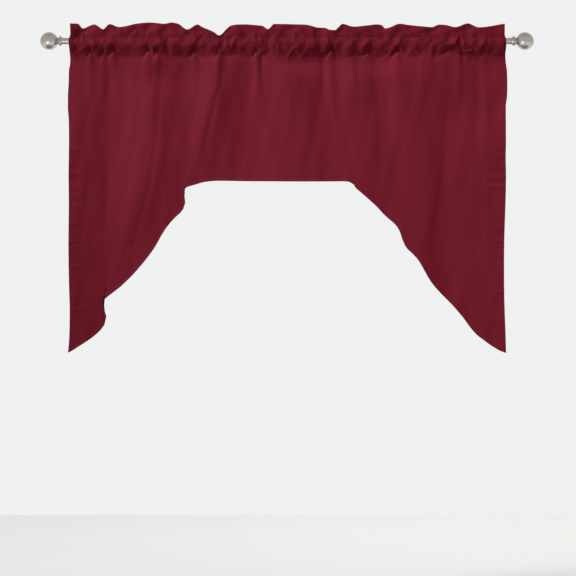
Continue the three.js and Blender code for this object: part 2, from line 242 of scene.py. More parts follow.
# Short creases where the cloth is gathered on the rod, each from one point to another
POCKET_CREASES = Table(
    CREASE_COLUMNS,
    (
        (-630, -41, -594, -17, 5.2, 1.7), (-583, -3, -583, -23, 6.8, -1.7),
        (-571, -6, -556, -35, 4.7, 2.2), (-580, -29, -565, -47, 6, -1.1),
        (-547, -11, -542, -29, 7.5, -1.7), (-530, -11, -515, -20, 6, -1.4),
        (-515, -20, -494, -44, 6, -1.4), (-524, -23, -527, -47, 5.2, -1.1),
        (-468, -3, -433, -44, 5.2, 1.3), (-421, -26, -406, 0, 6.8, -1.5),
        (-388, -26, -374, -20, 5.2, -1.1), (-350, 0, -350, -38, 7.5, -2.3),
        (-347, -17, -321, -47, 6.8, -1.7), (-371, -41, -356, -20, 6.8, -1.4),
        (-341, 0, -324, -14, 4.7, 1.7), (-294, 9, -277, -11, 3.7, 2.2), (-277, -11, -259, 15, 3.7, 2.4),
        (-259, 3, -256, -26, 6, -1.7), (-285, -41, -277, -23, 5.2, -1.4),
        (-274, -23, -259, -47, 5.2, -1.4), (-218, -32, -206, -3, 7.5, -1.9),
        (-200, 15, -191, -17, 6.8, -2.6), (-182, -3, -174, -32, 6.8, -1.7),
        (-185, -26, -180, -67, 7.5, -1.9), (-180, 9, -177, -14, 4.2, 2.2), (-153, 9, -162, -20, 3.2, 2.4),
        (-162, 6, -171, -20, 4.5, -1.1), (-144, 24, -127, 3, 5.1, -1.1), (-127, 3, -118, -32, 5.1, -1.2),
        (-115, -9, -88, -14, 5.4, -1.2), (-88, 6, -74, -17, 4.5, -1.2), (-71, 15, -65, -20, 4.5, -1.2),
        (-77, 9, -71, -17, 3.2, 2), (-56, -3, -53, -32, 6.8, -1.9), (-74, -47, -56, -26, 6, -1.4),
        (-47, -20, -26, -50, 4.2, 2.2), (-35, -17, 24, -14, 6, -1.1), (21, -20, 0, -50, 4.2, 2.4),
        (62, -20, 44, -47, 4.4, 2.2), (97, -9, 106, -41, 7.5, -1.9), (118, 9, 127, -29, 5.2, 3.3),
        (135, -14, 144, -32, 6, -1.1), (168, 12, 185, -17, 5.1, -1.2), (188, -20, 204, -68, 6.8, -1.8),
        (215, -6, 218, -41, 7.5, -1.8), (232, -23, 253, -26, 5.2, -1.1), (253, -26, 274, -47, 5.2, -1.1),
        (330, -3, 291, -50, 4, 2.6), (285, -14, 321, -11, 6, -1.1), (312, -44, 333, -20, 6, -1.4),
        (368, -20, 353, -47, 4.2, 1.4), (371, 6, 383, -14, 4.7, 2), (403, 3, 388, -26, 6, -1.5),
        (403, 0, 418, -32, 6, -1.5), (415, 0, 427, -17, 4, 2.2), (433, -6, 436, -41, 6.8, -1.9),
        (439, -20, 459, -6, 6, -1.2), (477, 9, 489, -6, 4.5, -1.1), (486, 9, 500, -3, 3.2, 2),
        (503, 18, 494, -6, 3.2, 2.6), (494, -6, 506, -29, 3.2, 2.4), (512, 18, 524, -23, 3.2, 2.9),
        (506, -3, 518, -44, 4.8, -1.8), (536, -9, 539, -20, 6.8, -1.7), (521, -32, 542, -29, 3.2, 2.6),
        (542, -29, 562, -67, 3.4, 2.6), (592, -17, 618, -44, 7.5, -0.9),
    ),
)

# Short creases of the ruffle
RUFFLE_CREASES = Table(
    CREASE_COLUMNS,
    (
        (-618, 50, -609, 30, 6, -1.4), (-603, 33, -594, 12, 6.8, -2), (-524, 41, -542, 9, 6.8, -2.3),
        (-512, 30, -500, 12, 4.2, 1.7), (-480, 33, -468, 9, 5.1, -1), (-462, 9, -439, 24, 4.2, 1.7),
        (-368, 30, -368, 12, 4.5, -1), (-347, 27, -344, 3, 3.4, 2), (-315, 30, -303, 15, 6.8, -1.4),
        (-241, 30, -209, 12, 6, -1.4), (-188, 24, -171, 30, 7.5, -1.7), (-174, 18, -165, 3, 7.5, -2.3),
        (-56, 33, -50, 3, 5.2, -1.2), (9, 18, 29, 18, 6, -1), (118, 30, 112, 9, 4.2, 1.3),
        (147, 15, 162, 33, 6, -1.5), (168, 27, 177, 9, 3.6, 2), (185, 24, 188, 3, 5.1, -1),
        (238, 9, 268, 15, 5.1, -1), (277, 36, 283, 24, 4.8, -1.2), (371, 9, 397, 24, 6, -1.7),
        (397, 24, 424, 27, 6.3, -1.7), (480, 27, 491, 9, 5.4, -1.9), (497, 30, 509, 15, 4.8, -1.4),
    ),
)

# Long soft creases that run down the panel: where each lies at the fold levels, its two ends, width and rise
LONG_CREASES = Table(
    ("foot_x", "lower_x", "middle_x", "upper_x", "high_x", "top", "low", "width", "rise"),
    (
        (-300, -246, -212, -194, -191, -30, -400, 9, -3.0),
        (-450, -388, -377, -375, -373, -30, -700, 9, -2.2),
        (-534, -526, -523, -523, -524, -30, -760, 15, -1.6),
        (106, 106, 107, 108, 108, -30, -185, 8, -2.4), (160, 150, 137, 127, 120, -30, -330, 10, 1.8),
        (214, 214, 214, 211, 207, -30, -160, 10, -2.6), (271, 274, 268, 268, 268, -150, -420, 10, -1.4),
        (458, 458, 452, 443, 436, -30, -165, 10, -1.8), (430, 464, 474, 478, 478, -190, -690, 12, -1.8),
        (520, 520, 520, 520, 518, -30, -90, 7, -2.0), (503, 503, 503, 504, 506, -30, -210, 8, 1.6),
        (-84, -84, -85, -86, -88, -30, -185, 7, 2.4), (-74, -74, -74, -74, -74, -40, -135, 6, -2.0),
        (-303, -303, -303, -303, -306, -40, -125, 9, -1.4),
        (-480, -466, -458, -452, -446, -60, -420, 16, 1.4), (330, 322, 318, 314, 310, -60, -360, 14, 1.2),
        (590, 588, 586, 584, 580, -90, -800, 16, 1.2), (12, 10, 6, 0, -4, -70, -330, 13, 1.0),
        (-590, -588, -592, -596, -600, -80, -620, 14, -1.2),
        (556, 560, 562, 560, 558, -60, -420, 13, -1.2),
    ),
)

# Small puckers where the side hems are sewn: the side, -1 for left, the height at the edge, how much lower
# the inner end lies, the reach inwards and how far each comes forward
SIDE_PUCKERS = Table(
    ("side", "z", "drop", "reach", "rise"),
    (
        (-1, -224, 2, 34, 0.9), (-1, -243, 3, 30, -0.8), (-1, -262, 2, 36, 0.9), (-1, -283, 4, 30, 0.7),
        (-1, -322, -2, 50, 1.6), (-1, -366, 3, 30, 0.9), (-1, -392, -8, 46, 1.3),
        (-1, -415, -10, 44, -1.1), (-1, -436, -9, 46, 1.3), (-1, -462, -14, 46, 1.2),
        (-1, -480, -12, 40, -1.0), (-1, -540, -12, 34, 1.1), (-1, -556, -8, 30, -0.9),
        (-1, -592, -8, 52, 1.4), (-1, -622, -2, 30, 0.8), (-1, -664, 0, 56, 1.4),
        (-1, -700, -4, 34, -0.8), (-1, -752, 0, 50, 1.3), (-1, -790, 2, 50, 1.5), (-1, -822, 6, 34, -1.0),
        (-1, -846, 4, 30, 1.0), (1, -100, 0, 24, 0.5), (1, -122, 2, 24, -0.5), (1, -148, 0, 26, 0.6),
        (1, -176, 3, 24, 0.5), (1, -316, 0, 28, 0.8), (1, -338, -4, 40, 1.1), (1, -354, -6, 40, -0.9),
        (1, -372, -10, 46, 1.2), (1, -388, -8, 46, -1.0), (1, -404, -8, 52, 1.5), (1, -420, -6, 56, -1.2),
        (1, -431, -4, 56, 1.5), (1, -476, 0, 26, 0.6), (1, -505, 2, 34, 0.9), (1, -528, 0, 34, -0.8),
        (1, -548, 4, 36, 1.3), (1, -566, 0, 30, -0.9), (1, -590, -4, 46, 1.6), (1, -612, 0, 46, -1.4),
        (1, -632, 0, 34, 1.1), (1, -660, 4, 30, 0.7), (1, -738, -3, 44, 1.4), (1, -772, 0, 34, -0.9),
        (1, -806, 0, 30, 0.6),
    ),
)


# How sharply bumps, short creases and long creases fall off beside their middle
BUMP_FALL = 1.4
CREASE_FALL = 1.5
LONG_FALL = 1.6

# Shares of a long crease's length over which it fades at its foot and top, and how far it runs past its top
LONG_FADES = (0.45, 0.1)
LONG_OVERRUN = 8.0

# A wavelength so long that a ripple stays the same down the cloth
UNCHANGING = 1e6


def ease(value: Grid, start: float, full: float) -> Grid:
    """Rises smoothly from 0 at start to 1 at full."""
    t = np.clip((value - start) / (full - start), 0.0, 1.0)
    return t * t * (3 - 2 * t)


def bump(offset: Grid, width: float) -> Grid:
    """A soft bump of height 1 at its centre, near 0 one and a half widths away."""
    return np.exp(-((offset / width) ** 2) * BUMP_FALL)


def crease_relief(table: Table, x: Grid, z: Grid) -> Grid:
    """Adds up a table's creases at each point of the cloth.

    Args:
        table: the creases, each a line with a width and a rise.
        x: places along the rod.
        z: heights.

    Returns:
        The forward rise at each point, in millimetres.
    """
    relief = np.zeros_like(x + z)
    for crease in table.records():
        run_x = crease["to_x"] - crease["x"]
        run_z = crease["to_z"] - crease["z"]
        along = ((x - crease["x"]) * run_x + (z - crease["z"]) * run_z) / (run_x**2 + run_z**2)
        along = np.clip(along, 0.0, 1.0)
        off = np.hypot(x - crease["x"] - along * run_x, z - crease["z"] - along * run_z)
        relief += crease["rise"] * np.exp(-((off / crease["width"]) ** CREASE_FALL))
    return relief


def long_relief(x: Grid, z: Grid) -> Grid:
    """Adds up the long creases at each point of the cloth.

    Args:
        x: places along the rod.
        z: heights.

    Returns:
        The forward rise at each point, in millimetres.
    """
    x, z = np.broadcast_arrays(x, z)
    levels = np.array(FOLD_LEVELS, float)
    count = len(FOLD_LEVELS)
    foot_fade, top_fade = LONG_FADES
    relief = np.zeros_like(x)
    for crease in LONG_CREASES.rows:
        places = np.array(crease[:count], float)
        top, low, width, rise = crease[count:]
        line = smooth_between(levels, places, z)
        reach = top - low
        strength = ease(z, low, low + foot_fade * reach)
        strength = strength * (1 - ease(z, top - top_fade * reach, top + LONG_OVERRUN))
        relief += rise * strength * np.exp(-(np.abs((x - line) / width) ** LONG_FALL))
    return relief


@dataclass(frozen=True)
class Puckers:
    """Short steep puckers like those of cloth pushed together on a rod, placed by seeded draws.

    Sizes are in millimetres, and a pair holds the least and the most.

    Attributes:
        seed: start of the draws.
        count: number of puckers.
        scatter: how far each strays from its even place.
        level: where each starts.
        length: how long each is.
        slant: spread of their slant, in radians.
        rise: how far each comes forward or goes back.
        width: how wide each is.
    """

    seed: int
    count: int
    scatter: float = 5.0
    level: tuple[float, float] = (-42.0, 14.0)
    length: tuple[float, float] = (12.0, 30.0)
    slant: float = 0.45
    rise: tuple[float, float] = (0.5, 1.5)
    width: tuple[float, float] = (3.0, 4.8)

    def table(self, half_width: float) -> Table:
        """Draws the puckers.

        Args:
            half_width: how far they spread from the middle.

        Returns:
            The puckers, as a table of creases.
        """
        draws = np.random.default_rng(self.seed)
        rows = []
        for place in np.linspace(-half_width, half_width, self.count):
            x = place + draws.uniform(-self.scatter, self.scatter)
            z = draws.uniform(*self.level)
            length = draws.uniform(*self.length)
            slant = draws.normal(0, self.slant)
            rise = draws.uniform(*self.rise) * draws.choice((-1.0, 1.0))
            run = length * math.sin(slant)
            rows.append((x, z, x + run, z + length * math.cos(slant), draws.uniform(*self.width), rise))
        return Table(CREASE_COLUMNS, tuple(rows))


@dataclass(frozen=True)
class Ripple:
    """A seeded sum of long waves that keeps a surface from being even.

    Attributes:
        across: typical wavelength along the rod, in millimetres.
        down: typical wavelength down the cloth, in millimetres.
        height: size of the waves, in millimetres.
        seed: start of the draws.
        waves: number of waves.
        stretch: least and most share of the typical wavelengths.
    """

    across: float
    down: float
    height: float
    seed: int
    waves: int = 9
    stretch: tuple[float, float] = (0.65, 1.6)

    def at(self, x: Grid, z: Grid) -> Grid:
        """Adds up the waves.

        Args:
            x: places along the rod.
            z: heights.

        Returns:
            The ripple's height at each point, in millimetres.
        """
        draws = np.random.default_rng(self.seed)
        total = np.zeros_like(x + z)
        for _ in range(self.waves):
            stretch_x, stretch_z = draws.uniform(*self.stretch, 2)
            phase = draws.uniform(0, 2 * math.pi)
            way = draws.choice((-1.0, 1.0))
            turn = x / (self.across * stretch_x) + way * z / (self.down * stretch_z)
            total += np.sin(2 * math.pi * turn + phase)
        return self.height * total / math.sqrt(self.waves)

    def along(self, x: Grid) -> Grid:
        """The ripple's height where it doesn't change down the cloth."""
        return self.at(x, 0 * x)


class Zone(Enum):
    """Stretches of the cloth, in the order in which it runs from the lower edge over the rod."""

    PANEL = "panel"
    POCKET_FRONT = "pocket_front"
    RUFFLE_FRONT = "ruffle_front"
    CREST = "crest"
    RUFFLE_BACK = "ruffle_back"
    POCKET_BACK = "pocket_back"
    TURNED_END = "turned_end"


class Wall(Enum):
    """The two layers of cloth over the rod. The value is the way each faces along Y."""

    FRONT = -1.0
    BACK = 1.0


class End(Enum):
    """The two ends of the rod. The value is the way each points along X."""

    LEFT = -1.0
    RIGHT = 1.0

    def word(self) -> str:
        """The end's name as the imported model's nodes spell it."""
        return self.name.lower()


class Socket:
    """A shader socket that takes part in plain arithmetic by adding Math nodes."""

    def __init__(self, bench: "NodeBench", source: Any) -> None:
        """Wraps an output socket of the node tree that a bench adds to."""
        self.bench = bench
        self.source = source

    def _math(self, operation: str, first: Any, second: Any) -> "Socket":
        """Adds a Math node on two values and wraps its output."""
        return self.bench.output("ShaderNodeMath", {"operation": operation}, {0: first, 1: second})

    def __add__(self, other: Any) -> "Socket":
        """Sum."""
        return self._math("ADD", self, other)

    __radd__ = __add__

    def __mul__(self, other: Any) -> "Socket":
        """Product."""
        return self._math("MULTIPLY", self, other)

    __rmul__ = __mul__

    def __sub__(self, other: Any) -> "Socket":
        """Difference."""
        return self._math("SUBTRACT", self, other)

    def __rsub__(self, other: Any) -> "Socket":
        """Difference from a number."""
        return self._math("SUBTRACT", other, self)

    def sine(self) -> "Socket":
        """Sine of the value in radians."""
        return self._math("SINE", self, 0.0)

    def clamped(self) -> "Socket":
        """The value held between 0 and 1."""
        high = self._math("MINIMUM", self, 1.0)
        return high._math("MAXIMUM", high, 0.0)


class NodeBench:
    """The one place where a node tree's nodes are made and joined."""

    def __init__(self, tree: bpy.types.NodeTree) -> None:
        """Clears the node tree of a material or a world and takes it over."""
        self.tree = tree
        self.tree.nodes.clear()

    def node(self, kind: str, settings: dict[str, Any] | None = None,
             inputs: dict[Any, Any] | None = None) -> Any:
        """Adds a node.

        Args:
            kind: the node's type.
            settings: its properties, set first; "stops" fills a color ramp.
            inputs: numbers, colours or sockets by input name or index.

        Returns:
            The new node.
        """
        node = self.tree.nodes.new(kind)
        for key, value in (settings or {}).items():
            if key == "stops":
                ramp = node.color_ramp
                for index, (position, color) in enumerate(value):
                    stop = ramp.elements[index] if index < 2 else ramp.elements.new(position)
                    stop.position = position
                    stop.color = color
            else:
                setattr(node, key, value)
        for key, value in (inputs or {}).items():
            if isinstance(value, Socket):
                self.tree.links.new(value.source, node.inputs[key])
            else:
                node.inputs[key].default_value = value
        return node

    def output(self, kind: str, settings: dict[str, Any] | None = None,
               inputs: dict[Any, Any] | None = None, result: Any = 0) -> Socket:
        """Adds a node as node() does, and wraps one of its outputs."""
        return Socket(self, self.node(kind, settings, inputs).outputs[result])

    def parts(self, vector: Socket) -> tuple[Socket, Socket, Socket]:
        """Splits a vector into its three values."""
        node = self.node("ShaderNodeSeparateXYZ", None, {0: vector})
        return Socket(self, node.outputs[0]), Socket(self, node.outputs[1]), Socket(self, node.outputs[2])

    def noise(self, vector: Socket, scale: float, detail: float = 2.0, roughness: float = 0.5) -> Socket:
        """Smooth noise from 0 to 1 over a vector."""
        inputs = {"Vector": vector, "Scale": scale, "Detail": detail, "Roughness": roughness}
        return self.output("ShaderNodeTexNoise", {"noise_dimensions": "3D"}, inputs)

    def mapped(self, vector: Socket, scale: tuple[float, float, float]) -> Socket:
        """A vector stretched along its axes."""
        return self.output("ShaderNodeMapping", {"vector_type": "POINT"}, {"Vector": vector, "Scale": scale})

    def mix(self, factor: Any, first: Any, second: Any) -> Socket:
        """A colour between two colours, which go into the node's inputs 6 and 7."""
        settings = {"data_type": "RGBA", "blend_type": "MIX"}
        return self.output("ShaderNodeMix", settings, {0: factor, 6: first, 7: second}, 2)

    def bumped(self, height: Socket, strength: float, distance: float) -> Socket:
        """A normal tilted by a height."""
        inputs = {"Strength": strength, "Distance": distance, "Height": height}
        return self.output("ShaderNodeBump", None, inputs, "Normal")

    def surface(self, inputs: dict[str, Any]) -> None:
        """Adds the output and the surface shader with its values and links by input name."""
        surface = self.output("ShaderNodeBsdfPrincipled", None, inputs)
        self.node("ShaderNodeOutputMaterial", None, {"Surface": surface})


def new_material(name: str) -> tuple[bpy.types.Material, NodeBench]:
    """Makes a material and the bench for its nodes.

    Args:
        name: the material's name.

    Returns:
        The material and its bench.
    """
    material = bpy.data.materials.new(name)
    material.use_nodes = True
    return material, NodeBench(material.node_tree)


def shade(color: tuple[float, float, float], gain: float = 1.0) -> tuple[float, float, float, float]:
    """A colour with an alpha of 1, made lighter or darker by a gain."""
    return (color[0] * gain, color[1] * gain, color[2] * gain, 1.0)


@dataclass(frozen=True)
class WovenPolyester:
    """Plain-woven matt polyester, dyed one colour.

    Attributes:
        name: the material's name.
        color: the dyed colour, linear.
        tones: how much darker and lighter the colour gets.
        threads_per_mm: threads across a millimetre.
        slub_scale: how the thicker stretches of thread repeat, along the cloth, down it and through it.
        cloud_scale: how the slow changes of tone repeat.
        tone_shares: shares of the weave, the slubs and the clouds in the tone.
        tone_offset: what is taken off the tone.
        relief_shares: shares of the weave and the slubs in the relief.
        relief_strength: strength of the relief.
        relief_height: height of the relief, in metres.
        roughness: least roughness.
        roughness_change: what the clouds add to it.
        sheen: strength of the soft edge light.
        sheen_roughness: how wide that light spreads.
        gloss: strength of the threads' gloss.
    """

    name: str = "burgundy_cloth"
    color: tuple[float, float, float] = (0.155, 0.0053, 0.0163)
    tones: tuple[float, float] = (0.86, 1.14)
    threads_per_mm: float = 1.6
    slub_scale: tuple[float, float, float] = (60.0, 900.0, 1.0)
    cloud_scale: float = 9.0
    tone_shares: tuple[float, float, float] = (0.22, 0.35, 0.55)
    tone_offset: float = 0.06
    relief_shares: tuple[float, float] = (0.6, 0.4)
    relief_strength: float = 0.22
    relief_height: float = 0.0002
    roughness: float = 0.74
    roughness_change: float = 0.14
    sheen: float = 0.02
    sheen_roughness: float = 0.45
    gloss: float = 0.09

    def material(self) -> bpy.types.Material:
        """Builds the cloth's nodes on its own UV map, which is laid out in metres of flat cloth.

        Returns:
            The material.
        """
        material, bench = new_material(self.name)
        flat = bench.output("ShaderNodeUVMap", {"uv_map": "flat_cloth"})
        along, down, _ = bench.parts(flat)
        turns = 2 * math.pi * self.threads_per_mm / MM
        warp = (along * turns).sine()
        weft = (down * turns).sine()
        weave = warp * weft * 0.5 + 0.5
        slubs = bench.noise(bench.mapped(flat, self.slub_scale), scale=1.0, detail=3.0)
        cloudy = bench.noise(flat, self.cloud_scale, detail=4.0, roughness=0.6)
        of_weave, of_slubs, of_clouds = self.tone_shares
        tone = (weave * of_weave + slubs * of_slubs + cloudy * of_clouds - self.tone_offset).clamped()
        dark, light = self.tones
        color = bench.mix(tone, shade(self.color, dark), shade(self.color, light))
        height = weave * self.relief_shares[0] + slubs * self.relief_shares[1]
        bench.surface({
            "Base Color": color,
            "Roughness": self.roughness + cloudy * self.roughness_change,
            "Normal": bench.bumped(height, self.relief_strength, self.relief_height),
            "Sheen Weight": self.sheen,
            "Sheen Roughness": self.sheen_roughness,
            "Specular IOR Level": self.gloss,
        })
        return material


@dataclass(frozen=True)
class SewingThread:
    """Spun polyester sewing thread in the cloth's colour, a little deeper.

    Attributes:
        name: the material's name.
        color: the dyed colour, linear.
        tones: how much darker and lighter the colour gets.
        twist_scale: turns of the twist over a metre, in radians.
        relief_strength: strength of the twist's relief.
        relief_height: height of that relief, in metres.
        roughness: least roughness.
        roughness_change: what the twist adds to it.
        sheen: strength of the soft edge light.
        gloss: strength of the thread's gloss.
    """

    name: str = "burgundy_thread"
    color: tuple[float, float, float] = (0.115, 0.0085, 0.016)
    tones: tuple[float, float] = (0.8, 1.25)
    twist_scale: float = 9000.0
    relief_strength: float = 0.3
    relief_height: float = 0.0001
    roughness: float = 0.5
    roughness_change: float = 0.15
    sheen: float = 0.04
    gloss: float = 0.25

    def material(self) -> bpy.types.Material:
        """Builds the thread's nodes with a fine twist.

        Returns:
            The material.
        """
        material, bench = new_material(self.name)
        place = bench.output("ShaderNodeTexCoord", None, None, "Object")
        x, _, z = bench.parts(place)
        twist = ((x + z) * self.twist_scale).sine() * 0.5 + 0.5
        dark, light = self.tones
        color = bench.mix(twist, shade(self.color, dark), shade(self.color, light))
        bench.surface({
            "Base Color": color,
            "Roughness": self.roughness + twist * self.roughness_change,
            "Normal": bench.bumped(twist, self.relief_strength, self.relief_height),
            "Sheen Weight": self.sheen,
            "Specular IOR Level": self.gloss,
        })
        return material


@dataclass(frozen=True)
class BrushedNickel:
    """Satin nickel plate, brushed round the rod's axis.

    Attributes:
        name: the material's name.
        color: the plate's colour, linear.
        tones: how much darker and lighter the colour gets.
        line_scale: how the turned lines repeat, along the axis and twice across it.
        cloud_scale: how the cloudiness repeats.
        relief_strength: strength of the lines' relief.
        relief_height: height of that relief, in metres.
        roughness: the even part of its roughness.
        roughness_changes: what the lines and the clouds add to it.
    """

    name: str = "satin_nickel"
    color: tuple[float, float, float] = (0.56, 0.53, 0.475)
    tones: tuple[float, float] = (0.86, 1.1)
    line_scale: tuple[float, float, float] = (2600.0, 34.0, 34.0)
    cloud_scale: float = 55.0
    relief_strength: float = 0.12
    relief_height: float = 0.0001
    roughness: float = 0.17
    roughness_changes: tuple[float, float] = (0.08, 0.05)

    def material(self) -> bpy.types.Material:
        """Builds the plate's nodes: fine turned lines, and a faint cloudiness where it is handled.

        Returns:
            The material.
        """
        material, bench = new_material(self.name)
        place = bench.output("ShaderNodeTexCoord", None, None, "Object")
        lines = bench.noise(bench.mapped(place, self.line_scale), scale=1.0, detail=3.0, roughness=0.6)
        cloudy = bench.noise(place, self.cloud_scale, detail=3.0)
        dark, light = self.tones
        color = bench.mix(lines * 0.5 + cloudy * 0.5, shade(self.color, dark), shade(self.color, light))
        of_lines, of_clouds = self.roughness_changes
        bench.surface({
            "Base Color": color,
            "Metallic": 1.0,
            "Roughness": self.roughness + lines * of_lines + cloudy * of_clouds,
            "Normal": bench.bumped(lines, self.relief_strength, self.relief_height),
        })
        return material


@dataclass(frozen=True)
class PalePlaster:
    """A matt pale floor.

    Attributes:
        name: the material's name.
        color: its colour, linear.
        tones: how much darker and lighter the colour gets.
        mottle_scale: how the mottling repeats.
        roughness: least roughness.
        roughness_change: what the mottling adds to it.
    """

    name: str = "pale_floor"
    color: tuple[float, float, float] = (0.50, 0.495, 0.485)
    tones: tuple[float, float] = (0.97, 1.02)
    mottle_scale: float = 2.2
    roughness: float = 0.8
    roughness_change: float = 0.1

    def material(self) -> bpy.types.Material:
        """Builds the floor's nodes with a faint mottling.

        Returns:
            The material.
        """
        material, bench = new_material(self.name)
        place = bench.output("ShaderNodeTexCoord", None, None, "Object")
        mottle = bench.noise(place, self.mottle_scale, detail=5.0, roughness=0.6)
        dark, light = self.tones
        color = bench.mix(mottle, shade(self.color, dark), shade(self.color, light))
        bench.surface({"Base Color": color, "Roughness": self.roughness + mottle * self.roughness_change})
        return material


@dataclass
class ClothGrid:
    """The cloth's outer face as a grid: rows run over the cloth's length, columns along the rod.

    Attributes:
        points: places, rows by columns by 3, in millimetres.
        zones: the zone of each row.
        thickness: thickness under each point, in millimetres.
        normals: the outward direction at each point.
    """

    points: Grid
    zones: list[Zone]
    thickness: Grid
    normals: Grid = field(init=False)

    def __post_init__(self) -> None:
        """Works out the outward normals from the neighbours in the grid."""
        down = np.gradient(self.points, axis=0)
        across = np.gradient(self.points, axis=1)
        normals = np.cross(across, down)
        self.normals = normals / np.linalg.norm(normals, axis=2, keepdims=True)

    def inner(self) -> Grid:
        """The places of the inner face."""
        return self.points - self.normals * self.thickness[..., None]

    def row_of(self, zone: Zone, last: bool = False) -> int:
        """The first or last row of a zone."""
        rows = [index for index, name in enumerate(self.zones) if name is zone]
        return rows[-1] if last else rows[0]


@dataclass
class SwagCloth:
    """The swag: one cloth from its lower edge up the front, over the rod's pocket and down the back.

    Sizes are in millimetres, and heights are above the rod's axis. A pair for where a form starts or ends
    holds the two places between which it comes or goes.
    """

    # The cut cloth, its hems and its rows of stitches
    half_width: float = 644.5
    fullness: float = 1.12
    cut_ruffle: float = 50.0
    cut_pocket: float = 66.0
    sheet: float = 0.7
    hem_width: float = 12.0
    hem_slack: float = 0.5
    hem_thickness: float = 1.6
    hem_stitch: float = 10.6
    header_stitch: float = 13.2
    pocket_stitch: float = -47.0
    stitch_ripple: Ripple = Ripple(70.0, UNCHANGING, 0.8, 3)
    turned_end: float = 5.0

    # The columns and rows of its grid
    column_pitch: float = 5.8
    hem_steps: tuple[float, ...] = (0.0, 1.0, 4.0, 7.5, 10.6, 12.0, 13.4, 17.0)
    panel_steps: int = 72
    row_spread: float = 1.1
    side_rows: int = 3
    side_columns: int = 17
    pocket_front_steps: int = 23
    pocket_back_steps: int = 17
    ruffle_front_steps: int = 11
    ruffle_back_steps: int = 7
    crest_steps: int = 3

    # How it lies on the rod, and how the pocket's walls meet the panel
    rod_level: float = -10.0
    rod_clearance: float = 10.4
    lie: float = 0.9
    back_lie: float = 1.5
    back_settle: float = 0.25
    layer_gap: float = 2.2
    join_share: float = 0.28

    # The panel's folds and ripples, and the ridges that start under the pocket
    fold_start: tuple[float, float] = (-8.0, -70.0)
    broad_ripple: Ripple = Ripple(75.0, 320.0, 0.55, 5)
    broad_start: tuple[float, float] = (5.0, 60.0)
    fine_ripple: Ripple = Ripple(26.0, 130.0, 0.16, 6)
    fine_start: tuple[float, float] = (5.0, 40.0)
    tongue_forward: float = 0.3
    tongue_spread: float = 160.0
    tongue_start: tuple[float, float] = (0.0, 14.0)
    tongue_fade: float = 30.0
    tongue_left: float = 0.36
    tongue_end: tuple[float, float] = (60.0, 230.0)
    tail_start: float = -560.0
    tail_reach: float = 320.0
    tail_back: float = 11.0

    # The side hems and the roll of the lower hem
    side_ease: float = 90.0
    hem_pucker_width: float = 5.2
    hem_pucker_scale: float = 0.78
    hem_pucker_ends: tuple[float, float] = (0.5, 1.35)
    steepest: float = 2.2
    hem_roll: float = 1.0
    curve_roll: float = -0.4
    roll_reach: float = 9.0
    roll_fall: float = 1.3
    seam_sink: float = 0.45
    seam_width: float = 2.2
    edge_ripple: Ripple = Ripple(31.0, UNCHANGING, 0.5, 8)
    edge_reach: float = 14.0

    # The gathered pocket over the rod
    gather_spread: float = 0.75
    bulge_share: float = 0.5
    front_bulge_start: tuple[float, float] = (-44.0, -10.0)
    back_bulge_start: tuple[float, float] = (4.0, 12.0)
    bulge_end: tuple[float, float] = (14.0, 50.0)
    belly_shift: float = 0.08
    belly_ripple: Ripple = Ripple(36.0, UNCHANGING, 1.0, 51)
    swell_power: float = 0.8
    stitch_shares: tuple[float, float] = (0.12, 0.1)
    gather_ripple: Ripple = Ripple(12.0, UNCHANGING, 0.3, 11)
    front_dimples: Ripple = Ripple(36.0, 42.0, 0.72, 11)
    back_dimples: Ripple = Ripple(36.0, 42.0, 0.72, 13)
    stitch_dent: float = 0.4
    swell_dent: float = 5.0
    front_puckers: Puckers = Puckers(41, 120)
    back_puckers: Puckers = Puckers(42, 190)
    pucker_margin: float = 10.0

    # The ruffle above the header stitches
    seam_forward: float = 15.0
    seam_ripple: Ripple = Ripple(42.0, 90.0, 0.8, 35)
    seam_start: tuple[float, float] = (1.0, 12.0)
    lean_share: float = 0.35
    lean_start: tuple[float, float] = (12.0, 40.0)
    ruffle_ripple: Ripple = Ripple(56.0, 64.0, 0.9, 27)
    ruffle_start: tuple[float, float] = (10.0, 30.0)
    flop: float = 0.2
    crest_depth: float = 2.2
    crest_power: float = 0.7
    ruffle_settle: float = 0.5
    crease_fade: float = 0.5
    least_depth: float = 0.45

    def thread_columns(self) -> Grid:
        """Spaces the threads along the rod: close together in the side hems, even between.

        Every second one runs the whole length of the cloth. The others only serve the gathered top.

        Returns:
            The threads' places, from left to right.
        """
        hem = np.array(self.hem_steps)
        inside = self.half_width - hem[-1]
        count = round(2 * inside / self.column_pitch)
        middle = np.linspace(-inside, inside, count)[1:-1]
        left = hem - self.half_width
        whole = np.concatenate([left, middle, -left[::-1]])
        between = (whole[1:] + whole[:-1]) / 2
        return np.insert(whole, np.arange(1, len(whole)), between)

    def fold_rise(self, x: Grid, z: Grid) -> Grid:
        """Works out how far the panel's folds come forward.

        Args:
            x: places along the rod.
            z: heights.

        Returns:
            The forward rise at each point.
        """
        x, z = np.broadcast_arrays(x, z)
        levels = np.array(FOLD_LEVELS, float)
        places = []
        rises = []
        for line in FOLD_LINES.rows:
            places.append(smooth_between(levels, np.array(line[0::2], float), z))
            rises.append(smooth_between(levels, np.array(line[1::2], float), z))
        rise = smooth_between(np.stack(places), np.stack(rises), x)
        return rise * ease(z, *self.fold_start)

    def gather_sum(self, x: Grid, name: str) -> Grid:
        """Adds up one of the gathers' named sizes along the rod.

        Args:
            x: places along the rod.
            name: the size's column in the table of gathers.

        Returns:
            The sum at each place.
        """
        total = np.zeros_like(x)
        for gather in GATHERS.records():
            total = total + gather[name] * bump(x - gather["x"], gather["width"] * self.gather_spread)
        return total

